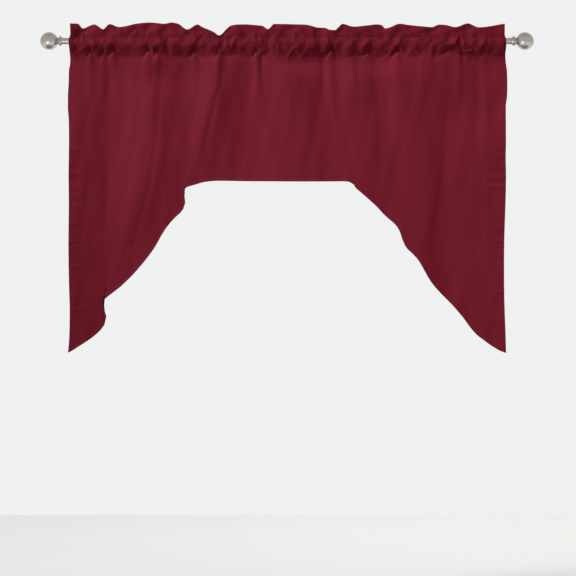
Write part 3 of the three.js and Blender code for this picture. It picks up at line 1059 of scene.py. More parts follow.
    def stitch_level(self, x: Grid) -> Grid:
        """Works out where the pocket's lower stitches run: raised where the panel pushes up under them.

        Args:
            x: places along the rod.

        Returns:
            The stitches' height at each place.
        """
        lift = np.zeros_like(x)
        for tongue in TONGUES.records():
            lift = np.maximum(lift, tongue["lift"] * bump(x - tongue["x"], tongue["width"]))
        return self.pocket_stitch + lift + self.stitch_ripple.along(x)

    def tongue_rise(self, x: Grid, below: Grid) -> Grid:
        """Works out the small ridges that start at the stitches and fade down the panel.

        Args:
            x: places along the rod.
            below: distances below the stitches.

        Returns:
            The forward rise at each point.
        """
        rise = np.zeros_like(x + below)
        for tongue in TONGUES.records():
            spread = tongue["width"] * (1.0 + below / self.tongue_spread)
            rise = rise + self.tongue_forward * tongue["lift"] * bump((x - tongue["x"]) / spread, 1.0)
        fade = self.tongue_left + (1 - self.tongue_left) * np.exp(-((below / self.tongue_fade) ** 2))
        return rise * ease(below, *self.tongue_start) * fade * (1 - ease(below, *self.tongue_end))

    def draw_in(self, x: Grid, z: Grid) -> Grid:
        """Works out how far a side edge draws in, easing to nothing away from it.

        Args:
            x: places along the rod.
            z: heights.

        Returns:
            The move to the right at each point.
        """
        near = ease(np.abs(x), self.half_width - self.side_ease, self.half_width)
        amount = np.where(x < 0, SIDE_EDGES.read("left", z), SIDE_EDGES.read("right", z))
        return -np.sign(x) * near * amount

    def edge_sway(self, x: Grid, z: Grid) -> Grid:
        """Works out how far the cloth beside the lower edge sways.

        Args:
            x: places along the rod.
            z: heights.

        Returns:
            The move to the right at each point.
        """
        sway = np.zeros_like(x + z)
        for place in EDGE_SWAYS.records():
            across = place["sway"] * bump(x - place["x"], place["reach"])
            sway = sway + across * bump(z - place["z"], place["spread"])
        return sway

    def side_puckers(self, x: Grid, z: Grid) -> Grid:
        """Works out the small slanted puckers where the side hems are sewn.

        Args:
            x: places along the rod.
            z: heights.

        Returns:
            The forward rise at each point.
        """
        rise = np.zeros_like(x + z)
        near, far = self.hem_pucker_ends
        for pucker in SIDE_PUCKERS.records():
            inward = self.half_width - pucker["side"] * x
            line = pucker["z"] - pucker["drop"] * inward / pucker["reach"]
            fade = 1 - ease(inward, near * pucker["reach"], far * pucker["reach"])
            rise = rise + pucker["rise"] * fade * bump(z - line, self.hem_pucker_width)
        return self.hem_pucker_scale * rise

    def edge_rise(self, x: Grid, from_edge: Grid, steepness: Grid) -> Grid:
        """Works out the roll of the lower hem, its sunk row of stitches and its waves.

        Args:
            x: places along the rod.
            from_edge: distances from the lower edge.
            steepness: how steep the lower edge is at each thread.

        Returns:
            The forward rise at each point.
        """
        roll = self.hem_roll + self.curve_roll * steepness / (1 + steepness)
        rise = roll * np.exp(-((from_edge / self.roll_reach) ** self.roll_fall))
        rise = rise - self.seam_sink * bump(from_edge - self.hem_stitch, self.seam_width)
        return rise + self.edge_ripple.along(x) * np.exp(-from_edge / self.edge_reach)

    def panel_rows(self, start: Grid, stitch: Grid) -> tuple[Grid, Grid]:
        """Hangs the panel, from its lower edge up to the pocket's stitches.

        Args:
            start: places of the threads at the rod.
            stitch: height of the stitches at each thread.

        Returns:
            The rows' points and their distances from the lower edge.
        """
        down = HEM.read("down", start)
        across = HEM.read("across", start)
        steepness = np.clip(np.abs(np.gradient(down, start)), 0.0, self.steepest)
        stretch = np.sqrt(1 + steepness**2)
        edge = np.array(self.hem_steps)[:, None]
        low = down + edge[-1] * stretch
        share = np.linspace(0.0, 1.0, self.panel_steps * self.side_rows + 1)[1:, None] ** self.row_spread
        z = np.concatenate([down + edge * stretch, low + (stitch - low) * share])
        fallen = np.clip((stitch - z) / (stitch - down), 0.0, 1.0)
        x = start + (across - start) * fallen**2
        below = stitch - z
        from_edge = (z - down) / stretch
        rise = self.fold_rise(x, z) + self.tongue_rise(x, below)
        rise = rise + long_relief(x, z) + crease_relief(POCKET_CREASES, x, z)
        rise = rise + self.side_puckers(x, z)
        rise = rise + self.broad_ripple.at(x, z) * ease(below, *self.broad_start)
        rise = rise + self.fine_ripple.at(x, z) * ease(below, *self.fine_start)
        rise = rise - self.tail_back * (np.maximum(self.tail_start - z, 0.0) / self.tail_reach) ** 2
        crowding = np.clip(np.gradient(across, start), 0.0, 1.0)
        rise = rise + self.edge_rise(x, from_edge, steepness) * crowding
        y = -self.lie - rise
        return np.stack([x, y, z], axis=2), from_edge

    def pocket_section(self, share: Grid, start: Grid, stitch: Grid, wall: Wall) -> tuple[Grid, Grid]:
        """Reads the pocket's section at shares of a wall's way up from the stitches.

        Args:
            share: the shares, one for each row.
            start: places of the threads.
            stitch: height of the lower stitches.
            wall: the wall.

        Returns:
            The wall's distance from the rod's axis along Y, and its height.
        """
        swell = np.sin(math.pi * share)
        uneven = share + self.belly_shift * self.belly_ripple.along(start) * swell
        depth = POCKET.read(wall.name.lower(), np.clip(uneven, 0.0, 1.0))
        level = POCKET.read("level", share) + 0 * stitch
        squeeze = (stitch - self.rod_level) / (self.pocket_stitch - self.rod_level)
        low = self.rod_level + (level - self.rod_level) * squeeze
        return depth, np.where(level < self.rod_level, low, level)

    def pocket_rows(self, start: Grid, stitch: Grid, wall: Wall, count: int) -> Grid:
        """Lays one wall of the pocket over the rod, from the lower stitches up to the header stitches.

        Args:
            start: places of the threads.
            stitch: height of the lower stitches.
            wall: the wall.
            count: number of rows.

        Returns:
            The rows' points.
        """
        share = np.linspace(0.0, 1.0, count)[:, None]
        depth, z = self.pocket_section(share, start, stitch, wall)
        x = start + 0 * z
        swell = np.sin(math.pi * share) ** self.swell_power
        lower, upper = self.stitch_shares
        near_stitch = np.exp(-((share / lower) ** 2)) + np.exp(-(((1 - share) / upper) ** 2))
        dimples = self.front_dimples if wall is Wall.FRONT else self.back_dimples
        puff = self.gather_ripple.along(x) * near_stitch
        puff = puff + dimples.at(x, z) * swell
        puff = np.maximum(puff + self.header_creases(x, z, wall), -self.stitch_dent - self.swell_dent * swell)
        y = wall.value * (depth + puff) - self.fold_rise(x, z) - self.header_sway(x, z, wall)
        if wall is Wall.BACK:
            y = y + (self.back_lie - self.lie) * (1 - ease(share, 0.0, self.back_settle))
        clear = np.sqrt(np.maximum(self.rod_clearance**2 - z**2, 0.0))
        y = np.where(clear > 0, wall.value * np.maximum(wall.value * y, clear), y)
        return np.stack([x, y, z], axis=2)

    def header_creases(self, x: Grid, z: Grid, wall: Wall) -> Grid:
        """Works out the small creases in one wall of the pocket and ruffle.

        Args:
            x: places along the rod.
            z: heights.
            wall: the wall.

        Returns:
            The outward rise at each point.
        """
        half_width = self.half_width - self.pucker_margin
        if wall is Wall.FRONT:
            tables = (POCKET_CREASES, RUFFLE_CREASES, self.front_puckers.table(half_width))
        else:
            tables = (self.back_puckers.table(half_width),)
        return sum(crease_relief(table, x, z) for table in tables)

    def header_sway(self, x: Grid, z: Grid, wall: Wall) -> Grid:
        """Works out how far a wall bulges or leans forward.

        The front wall does so from the lower stitches up, and the back wall above the rod.

        Args:
            x: places along the rod.
            z: heights.
            wall: the wall.

        Returns:
            The move forward at each point.
        """
        bulge_start = self.front_bulge_start if wall is Wall.FRONT else self.back_bulge_start
        bulge = self.gather_sum(x, "bulge") * ease(z, *bulge_start) * (1 - ease(z, *self.bulge_end))
        seam = self.seam_ripple.at(x, z) * ease(z, *self.seam_start)
        lean = self.lean_share * self.gather_sum(x, "lean") * ease(z, *self.lean_start)
        wave = self.ruffle_ripple.at(x, z) * ease(z, *self.ruffle_start)
        flop = self.flop * np.maximum(z - self.header_stitch, 0.0)
        return self.bulge_share * bulge + seam + lean + wave + flop

    def ruffle_rows(self, start: Grid, wall: Wall, count: int) -> Grid:
        """Raises one face of the ruffle, from the header stitches up to its folded edge.

        Args:
            start: places of the threads.
            wall: the wall that the face continues.
            count: number of rows.

        Returns:
            The rows' points.
        """
        share = np.linspace(0.0, 1.0, count + 1)[1:, None]
        top = RUFFLE_EDGE.read("top", start) - self.crest_depth
        z = self.header_stitch + (top - self.header_stitch) * share
        x = start + 0 * z
        depth = self.lie + (self.crest_depth - self.lie) * share**self.crest_power
        puff = self.gather_ripple.along(x) * (1 - ease(share, 0.0, self.ruffle_settle))
        puff = puff + self.header_creases(x, z, wall) * (1 - self.crease_fade * share)
        outward = wall.value * np.maximum(depth + puff, self.least_depth)
        y = outward - self.seam_forward - self.header_sway(x, z, wall)
        return np.stack([x, y, z], axis=2)

    def crest_rows(self, front: Grid, back: Grid, count: int) -> Grid:
        """Folds the ruffle's upper edge: a half turn between the last rows of its two faces.

        Args:
            front: the front face's last row.
            back: the back face's last row.
            count: number of rows.

        Returns:
            The rows' points.
        """
        turn = np.linspace(0.0, math.pi, count + 2)[1:-1, None]
        middle = (front + back) / 2
        reach = (back - front) / 2
        points = middle[None] - np.cos(turn)[..., None] * reach[None]
        points[..., 2] += np.sin(turn) * np.minimum(np.abs(reach[..., 1]), self.crest_depth)
        return points

    def settle(self, rows: Grid, depth: Grid) -> None:
        """Moves a wall's foot to a depth, easing to nothing up the wall.

        Args:
            rows: the wall's points, which are changed.
            depth: the depth at each thread.
        """
        gap = depth - rows[0, :, 1]
        share = np.linspace(0.0, 1.0, len(rows))[:, None]
        rows[..., 1] += gap * (1 - ease(share, 0.0, self.join_share))

    def drape(self) -> ClothGrid:
        """Works out the whole cloth as it hangs.

        Returns:
            The cloth's outer face.
        """
        start = self.thread_columns()
        stitch = self.stitch_level(start)
        panel, from_edge = self.panel_rows(start, stitch)
        pocket_front = self.pocket_rows(start, stitch, Wall.FRONT, self.pocket_front_steps)
        self.settle(pocket_front, panel[-1, :, 1])
        ruffle_front = self.ruffle_rows(start, Wall.FRONT, self.ruffle_front_steps)
        ruffle_back = self.ruffle_rows(start, Wall.BACK, self.ruffle_back_steps)
        straight = self.pocket_stitch + self.stitch_ripple.along(start)
        pocket_back = self.pocket_rows(start, straight, Wall.BACK, self.pocket_back_steps)
        self.settle(pocket_back, panel[-1, :, 1] + self.layer_gap)
        crest = self.crest_rows(ruffle_front[-1], ruffle_back[-1], self.crest_steps)
        end = pocket_back[:1].copy()
        end[..., 2] -= self.turned_end
        stretches = [
            (Zone.PANEL, panel), (Zone.POCKET_FRONT, pocket_front[1:]), (Zone.RUFFLE_FRONT, ruffle_front),
            (Zone.CREST, crest), (Zone.RUFFLE_BACK, ruffle_back[::-1]),
            (Zone.POCKET_BACK, pocket_back[::-1]), (Zone.TURNED_END, end),
        ]
        points = np.concatenate([rows for _, rows in stretches])
        zones = [zone for zone, rows in stretches for _ in range(len(rows))]
        points[..., 0] += self.draw_in(points[..., 0], points[..., 2])
        points[: len(panel), :, 0] += self.edge_sway(panel[..., 0], panel[..., 2])
        thickness = np.full(points.shape[:2], self.sheet)
        in_hem = from_edge < self.hem_width + self.hem_slack
        thickness[: len(panel)][in_hem] = self.hem_thickness
        in_side = np.abs(start) > self.half_width - self.hem_width - self.hem_slack
        thickness[: len(panel), in_side] = self.hem_thickness
        return ClothGrid(points, zones, thickness)

    def flat_size(self) -> tuple[float, float, float]:
        """Works out the size of the cut cloth from its finished sizes.

        Returns:
            Its width and length in metres and its area in square metres.
        """
        width = 2 * self.half_width * self.fullness * MM
        heading = (self.cut_ruffle - self.header_stitch) * 2 + self.cut_pocket * 2 + self.turned_end
        start = self.thread_columns()
        drop = self.pocket_stitch - HEM.read("down", start)
        length = (float(drop.max()) + heading) * MM
        area = float(np.trapz(drop + heading, start)) * self.fullness * MM * MM
        return width, length, area

    def build(self, grid: ClothGrid) -> bpy.types.Object:
        """Makes the closed thin sheet from the grid.

        Args:
            grid: the draped cloth.

        Returns:
            The sheet, in metres.
        """
        rows, columns = grid.points.shape[:2]
        index = np.arange(rows * columns).reshape(rows, columns)
        top = grid.row_of(Zone.PANEL, last=True)
        back = grid.row_of(Zone.RUFFLE_BACK)
        faces = []
        for under in (0, rows * columns):
            face = index + under
            sheet = self.panel_faces(face[: top + 1]) + [
                quads(face[top:back]), join_rows(face[back, ::2], face[back - 1])[:, ::-1],
                quads(face[back:, ::2]),
            ]
            faces += [part[:, ::-1] for part in sheet] if under else sheet
        below = index + rows * columns
        edge = np.delete(np.arange(rows), np.arange(top - self.side_rows + 1, top))
        faces += [
            strip(index[0, ::2], below[0, ::2])[:, ::-1], strip(index[-1, ::2], below[-1, ::2]),
            strip(index[edge, 0], below[edge, 0]), strip(index[edge, -1], below[edge, -1])[:, ::-1],
        ]
        flat = self.flat_places(grid)
        vertices = np.concatenate([grid.points.reshape(-1, 3), grid.inner().reshape(-1, 3)]) * MM
        used = np.unique(np.concatenate([part.ravel() for part in faces]))
        renumber = np.zeros(len(vertices), int)
        renumber[used] = np.arange(len(used))
        sheet = mesh_object("swag_cloth_sheet", vertices[used], [renumber[part] for part in faces])
        layer = sheet.data.uv_layers.new(name="flat_cloth")
        corners = np.zeros(len(sheet.data.loops), np.int32)
        sheet.data.loops.foreach_get("vertex_index", corners)
        layer.data.foreach_set("uv", flat[used][corners].astype(np.float32).ravel())
        return sheet

    def panel_faces(self, face: Grid) -> list[Grid]:
        """The panel's faces: all its rows run in the side hems, and only every few of them between.

        Args:
            face: vertex numbers of the panel's rows, up to the stitches.

        Returns:
            Arrays of faces.
        """
        whole = face[:, ::2]
        hem = len(self.hem_steps) - 1
        fine = whole[hem : len(whole) - self.side_rows]
        coarse = fine[:: self.side_rows]
        left, right = self.side_columns, -1 - self.side_columns
        return [
            quads(whole[: hem + 1]), quads(fine[:, : left + 1]), quads(fine[:, right:]),
            quads(coarse[:, left + 1 : right]),
            join_columns(fine[:, left], coarse[:, left + 1], self.side_rows),
            join_columns(fine[:, right], coarse[:, right - 1], self.side_rows)[:, ::-1],
            join_rows(fine[-1], face[-1]),
        ]

    def flat_places(self, grid: ClothGrid) -> Grid:
        """Works out each vertex's place on the flat cloth.

        Args:
            grid: the draped cloth.

        Returns:
            The places in metres, for the outer and then the inner face.
        """
        steps = np.linalg.norm(np.diff(grid.points, axis=0), axis=2)
        down = np.concatenate([np.zeros((1, steps.shape[1])), np.cumsum(steps, axis=0)])
        down = down - down[grid.row_of(Zone.PANEL, last=True)]
        across = np.broadcast_to(self.thread_columns() * self.fullness, down.shape)
        flat = np.stack([across, down], axis=2).reshape(-1, 2) * MM
        return np.concatenate([flat, flat])


def quads(index: Grid) -> Grid:
    """Four-cornered faces between neighbouring rows and columns of vertex numbers."""
    corners = (index[:-1, :-1], index[:-1, 1:], index[1:, 1:], index[1:, :-1])
    return np.stack(corners, axis=2).reshape(-1, 4)


def join_rows(coarse: Grid, fine: Grid) -> Grid:
    """Five-cornered faces from a row of vertices to a row with twice as many."""
    corners = (coarse[:-1], coarse[1:], fine[2::2], fine[1::2], fine[:-1:2])
    return np.stack(corners, axis=1)


def join_columns(fine: Grid, coarse: Grid, steps: int) -> Grid:
    """Joins a column of vertices to one beside it that only has every few of its rows.

    Args:
        fine: vertex numbers of the column with all the rows.
        coarse: vertex numbers of the other column.
        steps: how many rows lie between two of its vertices.

    Returns:
        The faces, each with a corner for every row that it passes.
    """
    faces = len(coarse) - 1
    passed = [fine[place::steps][:faces] for place in range(steps, -1, -1)]
    return np.stack([coarse[:-1], coarse[1:]] + passed, axis=1)


def strip(first: Grid, second: Grid) -> Grid:
    """Four-cornered faces between two lines of vertex numbers."""
    return np.stack((first[:-1], second[:-1], second[1:], first[1:]), axis=1)[:, ::-1]


def mesh_object(name: str, vertices: Grid, faces: list[Grid]) -> bpy.types.Object:
    """Makes a mesh object at the origin from arrays.

    Args:
        name: the object's name.
        vertices: places in metres.
        faces: arrays of vertex numbers, each with a row for each face.

    Returns:
        The linked object, smooth-shaded.
    """
    mesh = bpy.data.meshes.new(name)
    corners = np.concatenate([part.ravel() for part in faces])
    sizes = np.concatenate([np.full(len(part), part.shape[1]) for part in faces])
    starts = np.concatenate([[0], np.cumsum(sizes)[:-1]])
    mesh.vertices.add(len(vertices))
    mesh.vertices.foreach_set("co", vertices.astype(np.float32).ravel())
    mesh.loops.add(len(corners))
    mesh.loops.foreach_set("vertex_index", corners.astype(np.int32))
    mesh.polygons.add(len(sizes))
    mesh.polygons.foreach_set("loop_start", starts.astype(np.int32))
    mesh.polygons.foreach_set("use_smooth", np.ones(len(sizes), bool))
    mesh.update(calc_edges=True)
    mesh.validate()
    piece = bpy.data.objects.new(name, mesh)
    bpy.context.scene.collection.objects.link(piece)
    return piece


def read_along(values: Grid, way: Grid, at: Grid) -> Grid:
    """Reads a line's points or normals at distances along it, from those at each of its places."""
    return np.stack([np.interp(at, way, column) for column in values.T], axis=1)


@dataclass
class StitchRows:
    """The rows of machine stitches that show on the cloth, as one joined mesh.

    Sizes are in millimetres.

    Attributes:
        pitch: distance from one stitch to the next.
        length: length of a stitch.
        radius: half the thread's thickness.
        sides: faces round a stitch.
        stand: how far its middle stands off the cloth.
        look_ahead: how far ahead a stitch's direction is read.
        straight: share of its length from its middle to where it starts to taper.
        tip_sink: how far its tips dip.
        capsules: the points of the stitches sewn so far.
    """

    pitch: float = 3.4
    length: float = 2.5
    radius: float = 0.3
    sides: int = 5
    stand: float = 0.06
    look_ahead: float = 0.8
    straight: float = 0.33
    tip_sink: float = 0.2
    capsules: list[Grid] = field(default_factory=list)

    def sew(self, line: Grid, normals: Grid) -> None:
        """Adds stitches along a line on the cloth.

        Args:
            line: places along the row, in millimetres.
            normals: the cloth's outward normal at each place.
        """
        steps = np.linalg.norm(np.diff(line, axis=0), axis=1)
        way = np.concatenate([[0.0], np.cumsum(steps)])
        centres = np.arange(self.pitch / 2, way[-1] - self.pitch / 2, self.pitch)
        at = read_along(line, way, centres)
        up = read_along(normals, way, centres)
        tangent = read_along(line, way, centres + self.look_ahead) - at
        tangent /= np.linalg.norm(tangent, axis=1, keepdims=True)
        beside = np.cross(up, tangent)
        beside /= np.linalg.norm(beside, axis=1, keepdims=True)
        up = np.cross(tangent, beside)
        at = at + up * self.stand
        turns = np.arange(self.sides) * 2 * math.pi / self.sides
        rings = []
        tips = []
        for sign in (-1, 1):
            tip = at[:, None] + sign * tangent[:, None] * self.length / 2
            tips.append(tip - up[:, None] * self.tip_sink)
            ring = at[:, None] + tangent[:, None] * (sign * self.straight) * self.length
            ring = ring + self.radius * (
                np.cos(turns)[None, :, None] * beside[:, None] + np.sin(turns)[None, :, None] * up[:, None]
            )
            rings.append(ring)
        self.capsules.append(np.concatenate([tips[0], rings[0], rings[1], tips[1]], axis=1))

    def sew_cloth(self, grid: ClothGrid, cloth: SwagCloth) -> None:
        """Sews the header, the pocket, the side hems and the lower hem.

        Args:
            grid: the draped cloth.
            cloth: the cloth's sizes.
        """
        inner = grid.inner()
        front = slice(None)
        back = slice(None, None, 2)
        rows = [
            (grid.row_of(Zone.POCKET_FRONT, last=True), front), (grid.row_of(Zone.PANEL, last=True), front),
            (grid.row_of(Zone.POCKET_BACK), back), (grid.row_of(Zone.POCKET_BACK, last=True), back),
        ]
        for row in rows:
            self.sew(grid.points[row], grid.normals[row])
        hem_row = cloth.hem_steps.index(cloth.hem_stitch)
        hem_column = 2 * hem_row
        panel = slice(hem_row, grid.row_of(Zone.PANEL, last=True))
        lines = [(hem_row, slice(hem_column, -hem_column)), (panel, hem_column), (panel, -1 - hem_column)]
        for line in lines:
            self.sew(grid.points[line], grid.normals[line])
            self.sew(inner[line], -grid.normals[line])

    def build(self) -> bpy.types.Object:
        """Joins all the stitches into one mesh.

        Returns:
            The stitches, in metres.
        """
        stitches = np.concatenate(self.capsules)
        count, per_stitch = stitches.shape[:2]
        ring = np.arange(self.sides)
        after = (ring + 1) % self.sides
        first, first_after = 1 + ring, 1 + after
        second, second_after = 1 + self.sides + ring, 1 + self.sides + after
        start_tip, end_tip = 0 * ring, 0 * ring + 1 + 2 * self.sides
        corners = (
            (start_tip, first_after, first), (second, second_after, end_tip),
            (first, first_after, second_after), (first, second_after, second),
        )
        pattern = np.concatenate([np.stack(group, axis=1) for group in corners])
        faces = (pattern[None] + (np.arange(count) * per_stitch)[:, None, None]).reshape(-1, 3)
        return mesh_object("stitches", stitches.reshape(-1, 3) * MM, [faces])


@dataclass
class TurnedPiece:
    """A round piece turned on the rod's axis.

    Attributes:
        name: the piece's name.
        profile: places along X with the radius there, in metres, from one end to the other.
        sides: faces round the axis.
        bevel: width of the softened edges, in metres, or 0 for none.
        bevel_steps: faces across a softened edge.
        bevel_angle: least angle of an edge that is softened, in degrees.
        smooth_angle: greatest angle that is shaded smooth, in degrees.
        merge: points closer than this are one, in metres.
    """

    name: str
    profile: list[tuple[float, float]]
    sides: int = 64
    bevel: float = 0.0004
    bevel_steps: int = 2
    bevel_angle: float = 24.0
    smooth_angle: float = 40.0
    merge: float = 1e-7

    def build(self) -> bpy.types.Object:
        """Models the piece: a filled circle that is extruded and scaled from section to section.

        Returns:
            The piece.
        """
        bpy.ops.object.select_all(action="DESELECT")
        start, radius = self.profile[0]
        bpy.ops.mesh.primitive_circle_add(
            vertices=self.sides, radius=radius, fill_type="NGON",
            location=(start, 0.0, 0.0), rotation=(0.0, math.pi / 2, 0.0),
        )
        piece = bpy.context.active_object
        piece.name = self.name
        piece.data.name = self.name
        bpy.ops.object.transform_apply(location=True, rotation=True, scale=True)
        bpy.ops.object.mode_set(mode="EDIT")
        bpy.ops.mesh.select_all(action="SELECT")
        for (place, wide), (before, narrow) in zip(self.profile[1:], self.profile[:-1]):
            bpy.ops.mesh.extrude_region_move(TRANSFORM_OT_translate={"value": (place - before, 0.0, 0.0)})
            scale = wide / narrow
            bpy.ops.transform.resize(value=(1.0, scale, scale), center_override=(place, 0.0, 0.0))
        bpy.ops.mesh.select_all(action="SELECT")
        bpy.ops.mesh.remove_doubles(threshold=self.merge)
        bpy.ops.mesh.normals_make_consistent(inside=False)
        bpy.ops.object.mode_set(mode="OBJECT")
        if self.bevel > 0:
            softened = piece.modifiers.new("softened_edges", "BEVEL")
            softened.width = self.bevel
            softened.segments = self.bevel_steps
            softened.limit_method = "ANGLE"
            softened.angle_limit = math.radians(self.bevel_angle)
            bpy.ops.object.modifier_apply(modifier=softened.name)
        bpy.ops.object.shade_smooth_by_angle(angle=math.radians(self.smooth_angle))
        return piece


@dataclass
class CurtainRod:
    """The rod with a turned collar and a ball finial at each end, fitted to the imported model.

    Sizes are in metres and angles in degrees.

    Attributes:
        rod_chamfer: how far the rod's ends are eased.
        rod_ring: how far from an end the rod has one more ring of points.
        collar_sections: shares of a collar's length, from its mouth on, with the radius there.
        collar_bevel: width of a collar's softened edges.
        ball_segments: faces round a ball.
        ball_rings: rings of faces from one pole of a ball to the other.
        ball_smooth_angle: greatest angle on a ball that is shaded smooth.
        neck_radius: radius of the round of faces that the neck grows from.
        neck_start: how far the neck is drawn out before it is set against its collar.
    """

    rod_chamfer: float = 0.0006
    rod_ring: float = 0.02
    collar_sections: tuple[tuple[float, float], ...] = (
        (0.00, 0.0112), (0.05, 0.0120), (0.22, 0.0126), (0.40, 0.0143), (0.48, 0.0155), (0.58, 0.0155),
        (0.66, 0.0141), (0.78, 0.0108), (0.88, 0.0100), (1.00, 0.0108),
    )
    collar_bevel: float = 0.0003
    ball_segments: int = 72
    ball_rings: int = 48
    ball_smooth_angle: float = 35.0
    neck_radius: float = 0.0090
    neck_start: float = 0.0012

    def rod(self) -> bpy.types.Object:
        """Models the round rod with eased ends.

        Returns:
            The rod.
        """
        low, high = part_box("rod")
        radius = (high.z - low.z) / 2
        eased = radius - self.rod_chamfer
        profile = [
            (low.x, eased), (low.x + self.rod_chamfer, radius), (low.x + self.rod_ring, radius),
            (high.x - self.rod_ring, radius), (high.x - self.rod_chamfer, radius), (high.x, eased),
        ]
        return TurnedPiece("rod_tube", profile, bevel=0.0).build()

    def collar(self, end: End) -> bpy.types.Object:
        """Models one flared collar over the rod's end.

        Args:
            end: the end of the rod.

        Returns:
            The collar.
        """
        low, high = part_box(f"finial_collar_{end.word()}")
        mouth, back = (low.x, high.x) if end is End.RIGHT else (high.x, low.x)
        length = abs(back - mouth)
        profile = [(mouth + end.value * share * length, radius) for share, radius in self.collar_sections]
        return TurnedPiece(f"collar_{end.word()}", profile, bevel=self.collar_bevel).build()

    def ball(self, end: End) -> bpy.types.Object:
        """Models one ball with the short neck that joins it to its collar.

        Args:
            end: the end of the rod.

        Returns:
            The ball.
        """
        low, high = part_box(f"finial_ball_{end.word()}")
        radius = (high.z - low.z) / 2
        face, centre = (low.x, high.x - radius) if end is End.RIGHT else (high.x, low.x + radius)
        bpy.ops.object.select_all(action="DESELECT")
        bpy.ops.mesh.primitive_uv_sphere_add(
            segments=self.ball_segments, ring_count=self.ball_rings, radius=radius,
            location=(centre, 0.0, 0.0), rotation=(0.0, math.pi / 2, 0.0),
        )
        piece = bpy.context.active_object
        piece.name = f"ball_{end.word()}"
        piece.data.name = piece.name
        bpy.ops.object.transform_apply(location=True, rotation=True, scale=True)
        bpy.ops.object.mode_set(mode="EDIT")
        bpy.ops.mesh.select_mode(type="FACE")
        bpy.ops.mesh.select_all(action="DESELECT")
        bpy.ops.object.mode_set(mode="OBJECT")
        for polygon in piece.data.polygons:
            at = polygon.center
            inwards = end.value * (centre - at.x) > 0
            polygon.select = inwards and math.hypot(at.y, at.z) < self.neck_radius
        bpy.ops.object.mode_set(mode="EDIT")
        drawn = -end.value * self.neck_start
        bpy.ops.mesh.extrude_region_move(TRANSFORM_OT_translate={"value": (drawn, 0.0, 0.0)})
        bpy.ops.transform.resize(value=(0.0, 1.0, 1.0), center_override=(face, 0.0, 0.0))
        bpy.ops.mesh.select_all(action="SELECT")
        bpy.ops.mesh.normals_make_consistent(inside=False)
        bpy.ops.object.mode_set(mode="OBJECT")
        bpy.ops.object.shade_smooth_by_angle(angle=math.radians(self.ball_smooth_angle))
        return piece


@dataclass(frozen=True)
class SoftLight:
    """A square soft light.

    Attributes:
        name: the light's name.
        place: where it stands, in metres.
        size: its side, in metres.
        power: its power, in watts.
    """

    name: str
    place: tuple[float, float, float]
    size: float
    power: float


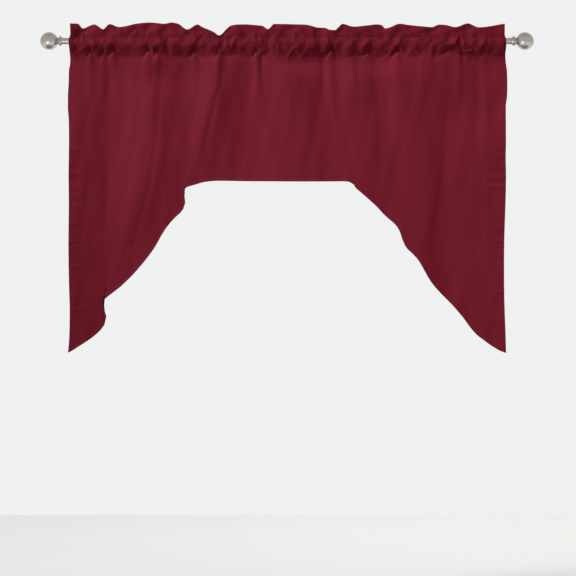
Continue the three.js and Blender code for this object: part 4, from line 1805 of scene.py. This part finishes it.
@dataclass
class Studio:
    """The pale floor, the soft lights and the camera.

    Sizes are in metres, the sensor's width in millimetres, and the photograph's places in its pixels.

    Attributes:
        frame_pixels: the photograph's width and height.
        mm_per_pixel: what a pixel of it stands for on the cloth.
        middle_pixel: the object's middle across the photograph.
        rod_pixel: the rod's axis down the photograph.
        camera_distance: how far the camera stands from the rod.
        sensor_width: width of the camera's sensor.
        view_limit: how far the camera sees.
        floor_level: height of the floor.
        floor_half: half the floor's side.
        aim: the place that the lights point at.
        key: the main light, from the upper left.
        back: a light behind the cloth.
        low: a lamp seen in gloss alone, for the undersides of the balls.
        gloss_share: how much stronger the cloth's gloss light is than the main light.
        surround: colour of the surround.
        backdrop: how bright the surround is where the camera sees it.
        mirrored_levels: heights in the surround, 0 below and 1 above, with its brightness in gloss.
        light_levels: the same for the light that it sheds.
    """

    frame_pixels: float = 576.0
    mm_per_pixel: float = 2.943
    middle_pixel: float = 287.0
    rod_pixel: float = 41.1
    camera_distance: float = 7.0
    sensor_width: float = 36.0
    view_limit: float = 100.0
    floor_level: float = -1.72
    floor_half: float = 3.4
    aim: tuple[float, float, float] = (0.0, 0.0, -0.35)
    key: SoftLight = SoftLight("key_light", (-14.3, -10.0, 13.2), 5.8, 5900.0)
    back: SoftLight = SoftLight("back_light", (1.6, 3.6, 2.4), 2.2, 190.0)
    low: SoftLight = SoftLight("low_light", (-1.5, -2.9, -1.35), 1.3, 12.0)
    gloss_share: float = 2.2
    surround: tuple[float, float, float] = (0.99, 0.995, 1.0)
    backdrop: float = 0.88
    mirrored_levels: tuple[tuple[float, float], ...] = (
        (0.0, 0.30), (0.05, 0.34), (0.13, 0.95), (0.28, 1.0), (0.40, 0.70), (0.55, 0.64), (0.8, 0.62),
        (1.0, 0.50),
    )
    light_levels: tuple[tuple[float, float], ...] = ((0.0, 0.36), (0.42, 0.36), (0.6, 0.385), (1.0, 0.59))

    def camera(self) -> None:
        """Adds the camera, square to the cloth, framed as in the photograph."""
        half = self.frame_pixels / 2
        width = self.frame_pixels * self.mm_per_pixel * MM
        data = bpy.data.cameras.new("camera")
        data.sensor_width = self.sensor_width
        data.lens = data.sensor_width * self.camera_distance / width
        data.clip_end = self.view_limit
        camera = bpy.data.objects.new("camera", data)
        across = (half - self.middle_pixel) * self.mm_per_pixel * MM
        level = (self.rod_pixel - half) * self.mm_per_pixel * MM
        camera.location = (across, -self.camera_distance, level)
        camera.rotation_euler = (math.pi / 2, 0.0, 0.0)
        bpy.context.scene.collection.objects.link(camera)
        bpy.context.scene.camera = camera

    def floor(self) -> None:
        """Adds the floor well below the tails."""
        half = self.floor_half
        corners = np.array([(-half, -half, 0), (half, -half, 0), (half, half, 0), (-half, half, 0)], float)
        corners[:, 2] = self.floor_level
        floor = mesh_object("floor", corners, [np.array([[0, 1, 2, 3]])])
        floor.data.materials.append(PalePlaster().material())
        floor.visible_diffuse = False
        floor.visible_glossy = False

    def light(self, soft: SoftLight, in_gloss: bool = False) -> bpy.types.Object:
        """Adds one square soft light aimed at the cloth.

        Args:
            soft: the light.
            in_gloss: whether it is seen in gloss alone, or else lights things and is in no gloss.

        Returns:
            The lamp.
        """
        data = bpy.data.lights.new(soft.name, "AREA")
        data.size = soft.size
        data.energy = soft.power
        lamp = bpy.data.objects.new(soft.name, data)
        lamp.location = soft.place
        lamp.visible_glossy = in_gloss
        lamp.visible_diffuse = not in_gloss
        aim = np.array(self.aim) - np.array(soft.place)
        yaw = math.atan2(aim[0], -aim[1])
        pitch = math.atan2(math.hypot(aim[0], aim[1]), -aim[2])
        lamp.rotation_euler = (pitch, 0.0, math.pi + yaw)
        bpy.context.scene.collection.objects.link(lamp)
        return lamp

    def cloth_gloss(self, cloths: list[bpy.types.Object]) -> None:
        """Adds the key light's gloss on the cloth alone, so that it doesn't spot the metal.

        Args:
            cloths: the pieces that it falls on.
        """
        gloss = replace(self.key, name="cloth_gloss", power=self.key.power * self.gloss_share)
        lamp = self.light(gloss, in_gloss=True)
        receivers = bpy.data.collections.new("cloth_receivers")
        for cloth in cloths:
            receivers.objects.link(cloth)
        lamp.light_linking.receiver_collection = receivers

    def world(self) -> None:
        """Sets a pale surround whose soft light falls mostly from above."""
        world = bpy.data.worlds.new("studio")
        world.use_nodes = True
        bench = NodeBench(world.node_tree)
        way = bench.output("ShaderNodeTexCoord", None, None, "Generated")
        _, _, height = bench.parts(way)
        ramps = []
        for levels in (self.mirrored_levels, self.light_levels):
            settings = {"stops": [(place, shade(self.surround, gain)) for place, gain in levels]}
            ramps.append(bench.output("ShaderNodeValToRGB", settings, {0: height * 0.5 + 0.5}))
        seen = bench.output("ShaderNodeLightPath", None, None, "Is Camera Ray")
        soft = bench.output("ShaderNodeLightPath", None, None, "Is Diffuse Ray")
        color = bench.mix(soft, ramps[0], ramps[1])
        color = bench.mix(seen, color, shade(self.surround, self.backdrop))
        background = bench.output("ShaderNodeBackground", None, {"Color": color, "Strength": 1.0})
        bench.node("ShaderNodeOutputWorld", None, {"Surface": background})
        bpy.context.scene.world = world

    def build(self) -> None:
        """Sets up the whole studio."""
        self.camera()
        self.floor()
        self.world()
        self.light(self.key)
        self.light(self.back)
        self.light(self.low, in_gloss=True)
        view = bpy.context.scene.view_settings
        view.view_transform = "Standard"
        view.look = "None"


def dress(piece: bpy.types.Object, material: bpy.types.Material) -> None:
    """Gives a piece its material and slot and puts it on the root body.

    Args:
        piece: the finished piece.
        material: its material.
    """
    piece.data.materials.clear()
    piece.data.materials.append(material)
    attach(piece, ROOT_BODY)
    LOG.info("%s: %d faces", piece.name, len(piece.data.polygons))


def main() -> None:
    """Builds the studio, the rod, the cloth and its stitches."""
    logging.basicConfig(level=logging.INFO, format="%(message)s")
    studio = Studio()
    studio.build()

    nickel = BrushedNickel().material()
    fittings = CurtainRod()
    rod = fittings.rod()
    dress(rod, nickel)
    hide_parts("rod")
    for end in End:
        collar = fittings.collar(end)
        dress(collar, nickel)
        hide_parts(f"finial_collar_{end.word()}")
        ball = fittings.ball(end)
        dress(ball, nickel)
        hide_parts(f"finial_ball_{end.word()}")

    cloth = SwagCloth()
    grid = cloth.drape()
    sheet = cloth.build(grid)
    dress(sheet, WovenPolyester().material())
    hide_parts("swag_cloth")
    rows = StitchRows()
    rows.sew_cloth(grid, cloth)
    stitches = rows.build()
    dress(stitches, SewingThread().material())
    studio.cloth_gloss([sheet, stitches])
    width, length, area = cloth.flat_size()
    LOG.info("flat cloth %.3f by %.3f m, %.3f square metres", width, length, area)


if __name__ == "__main__":
    main()
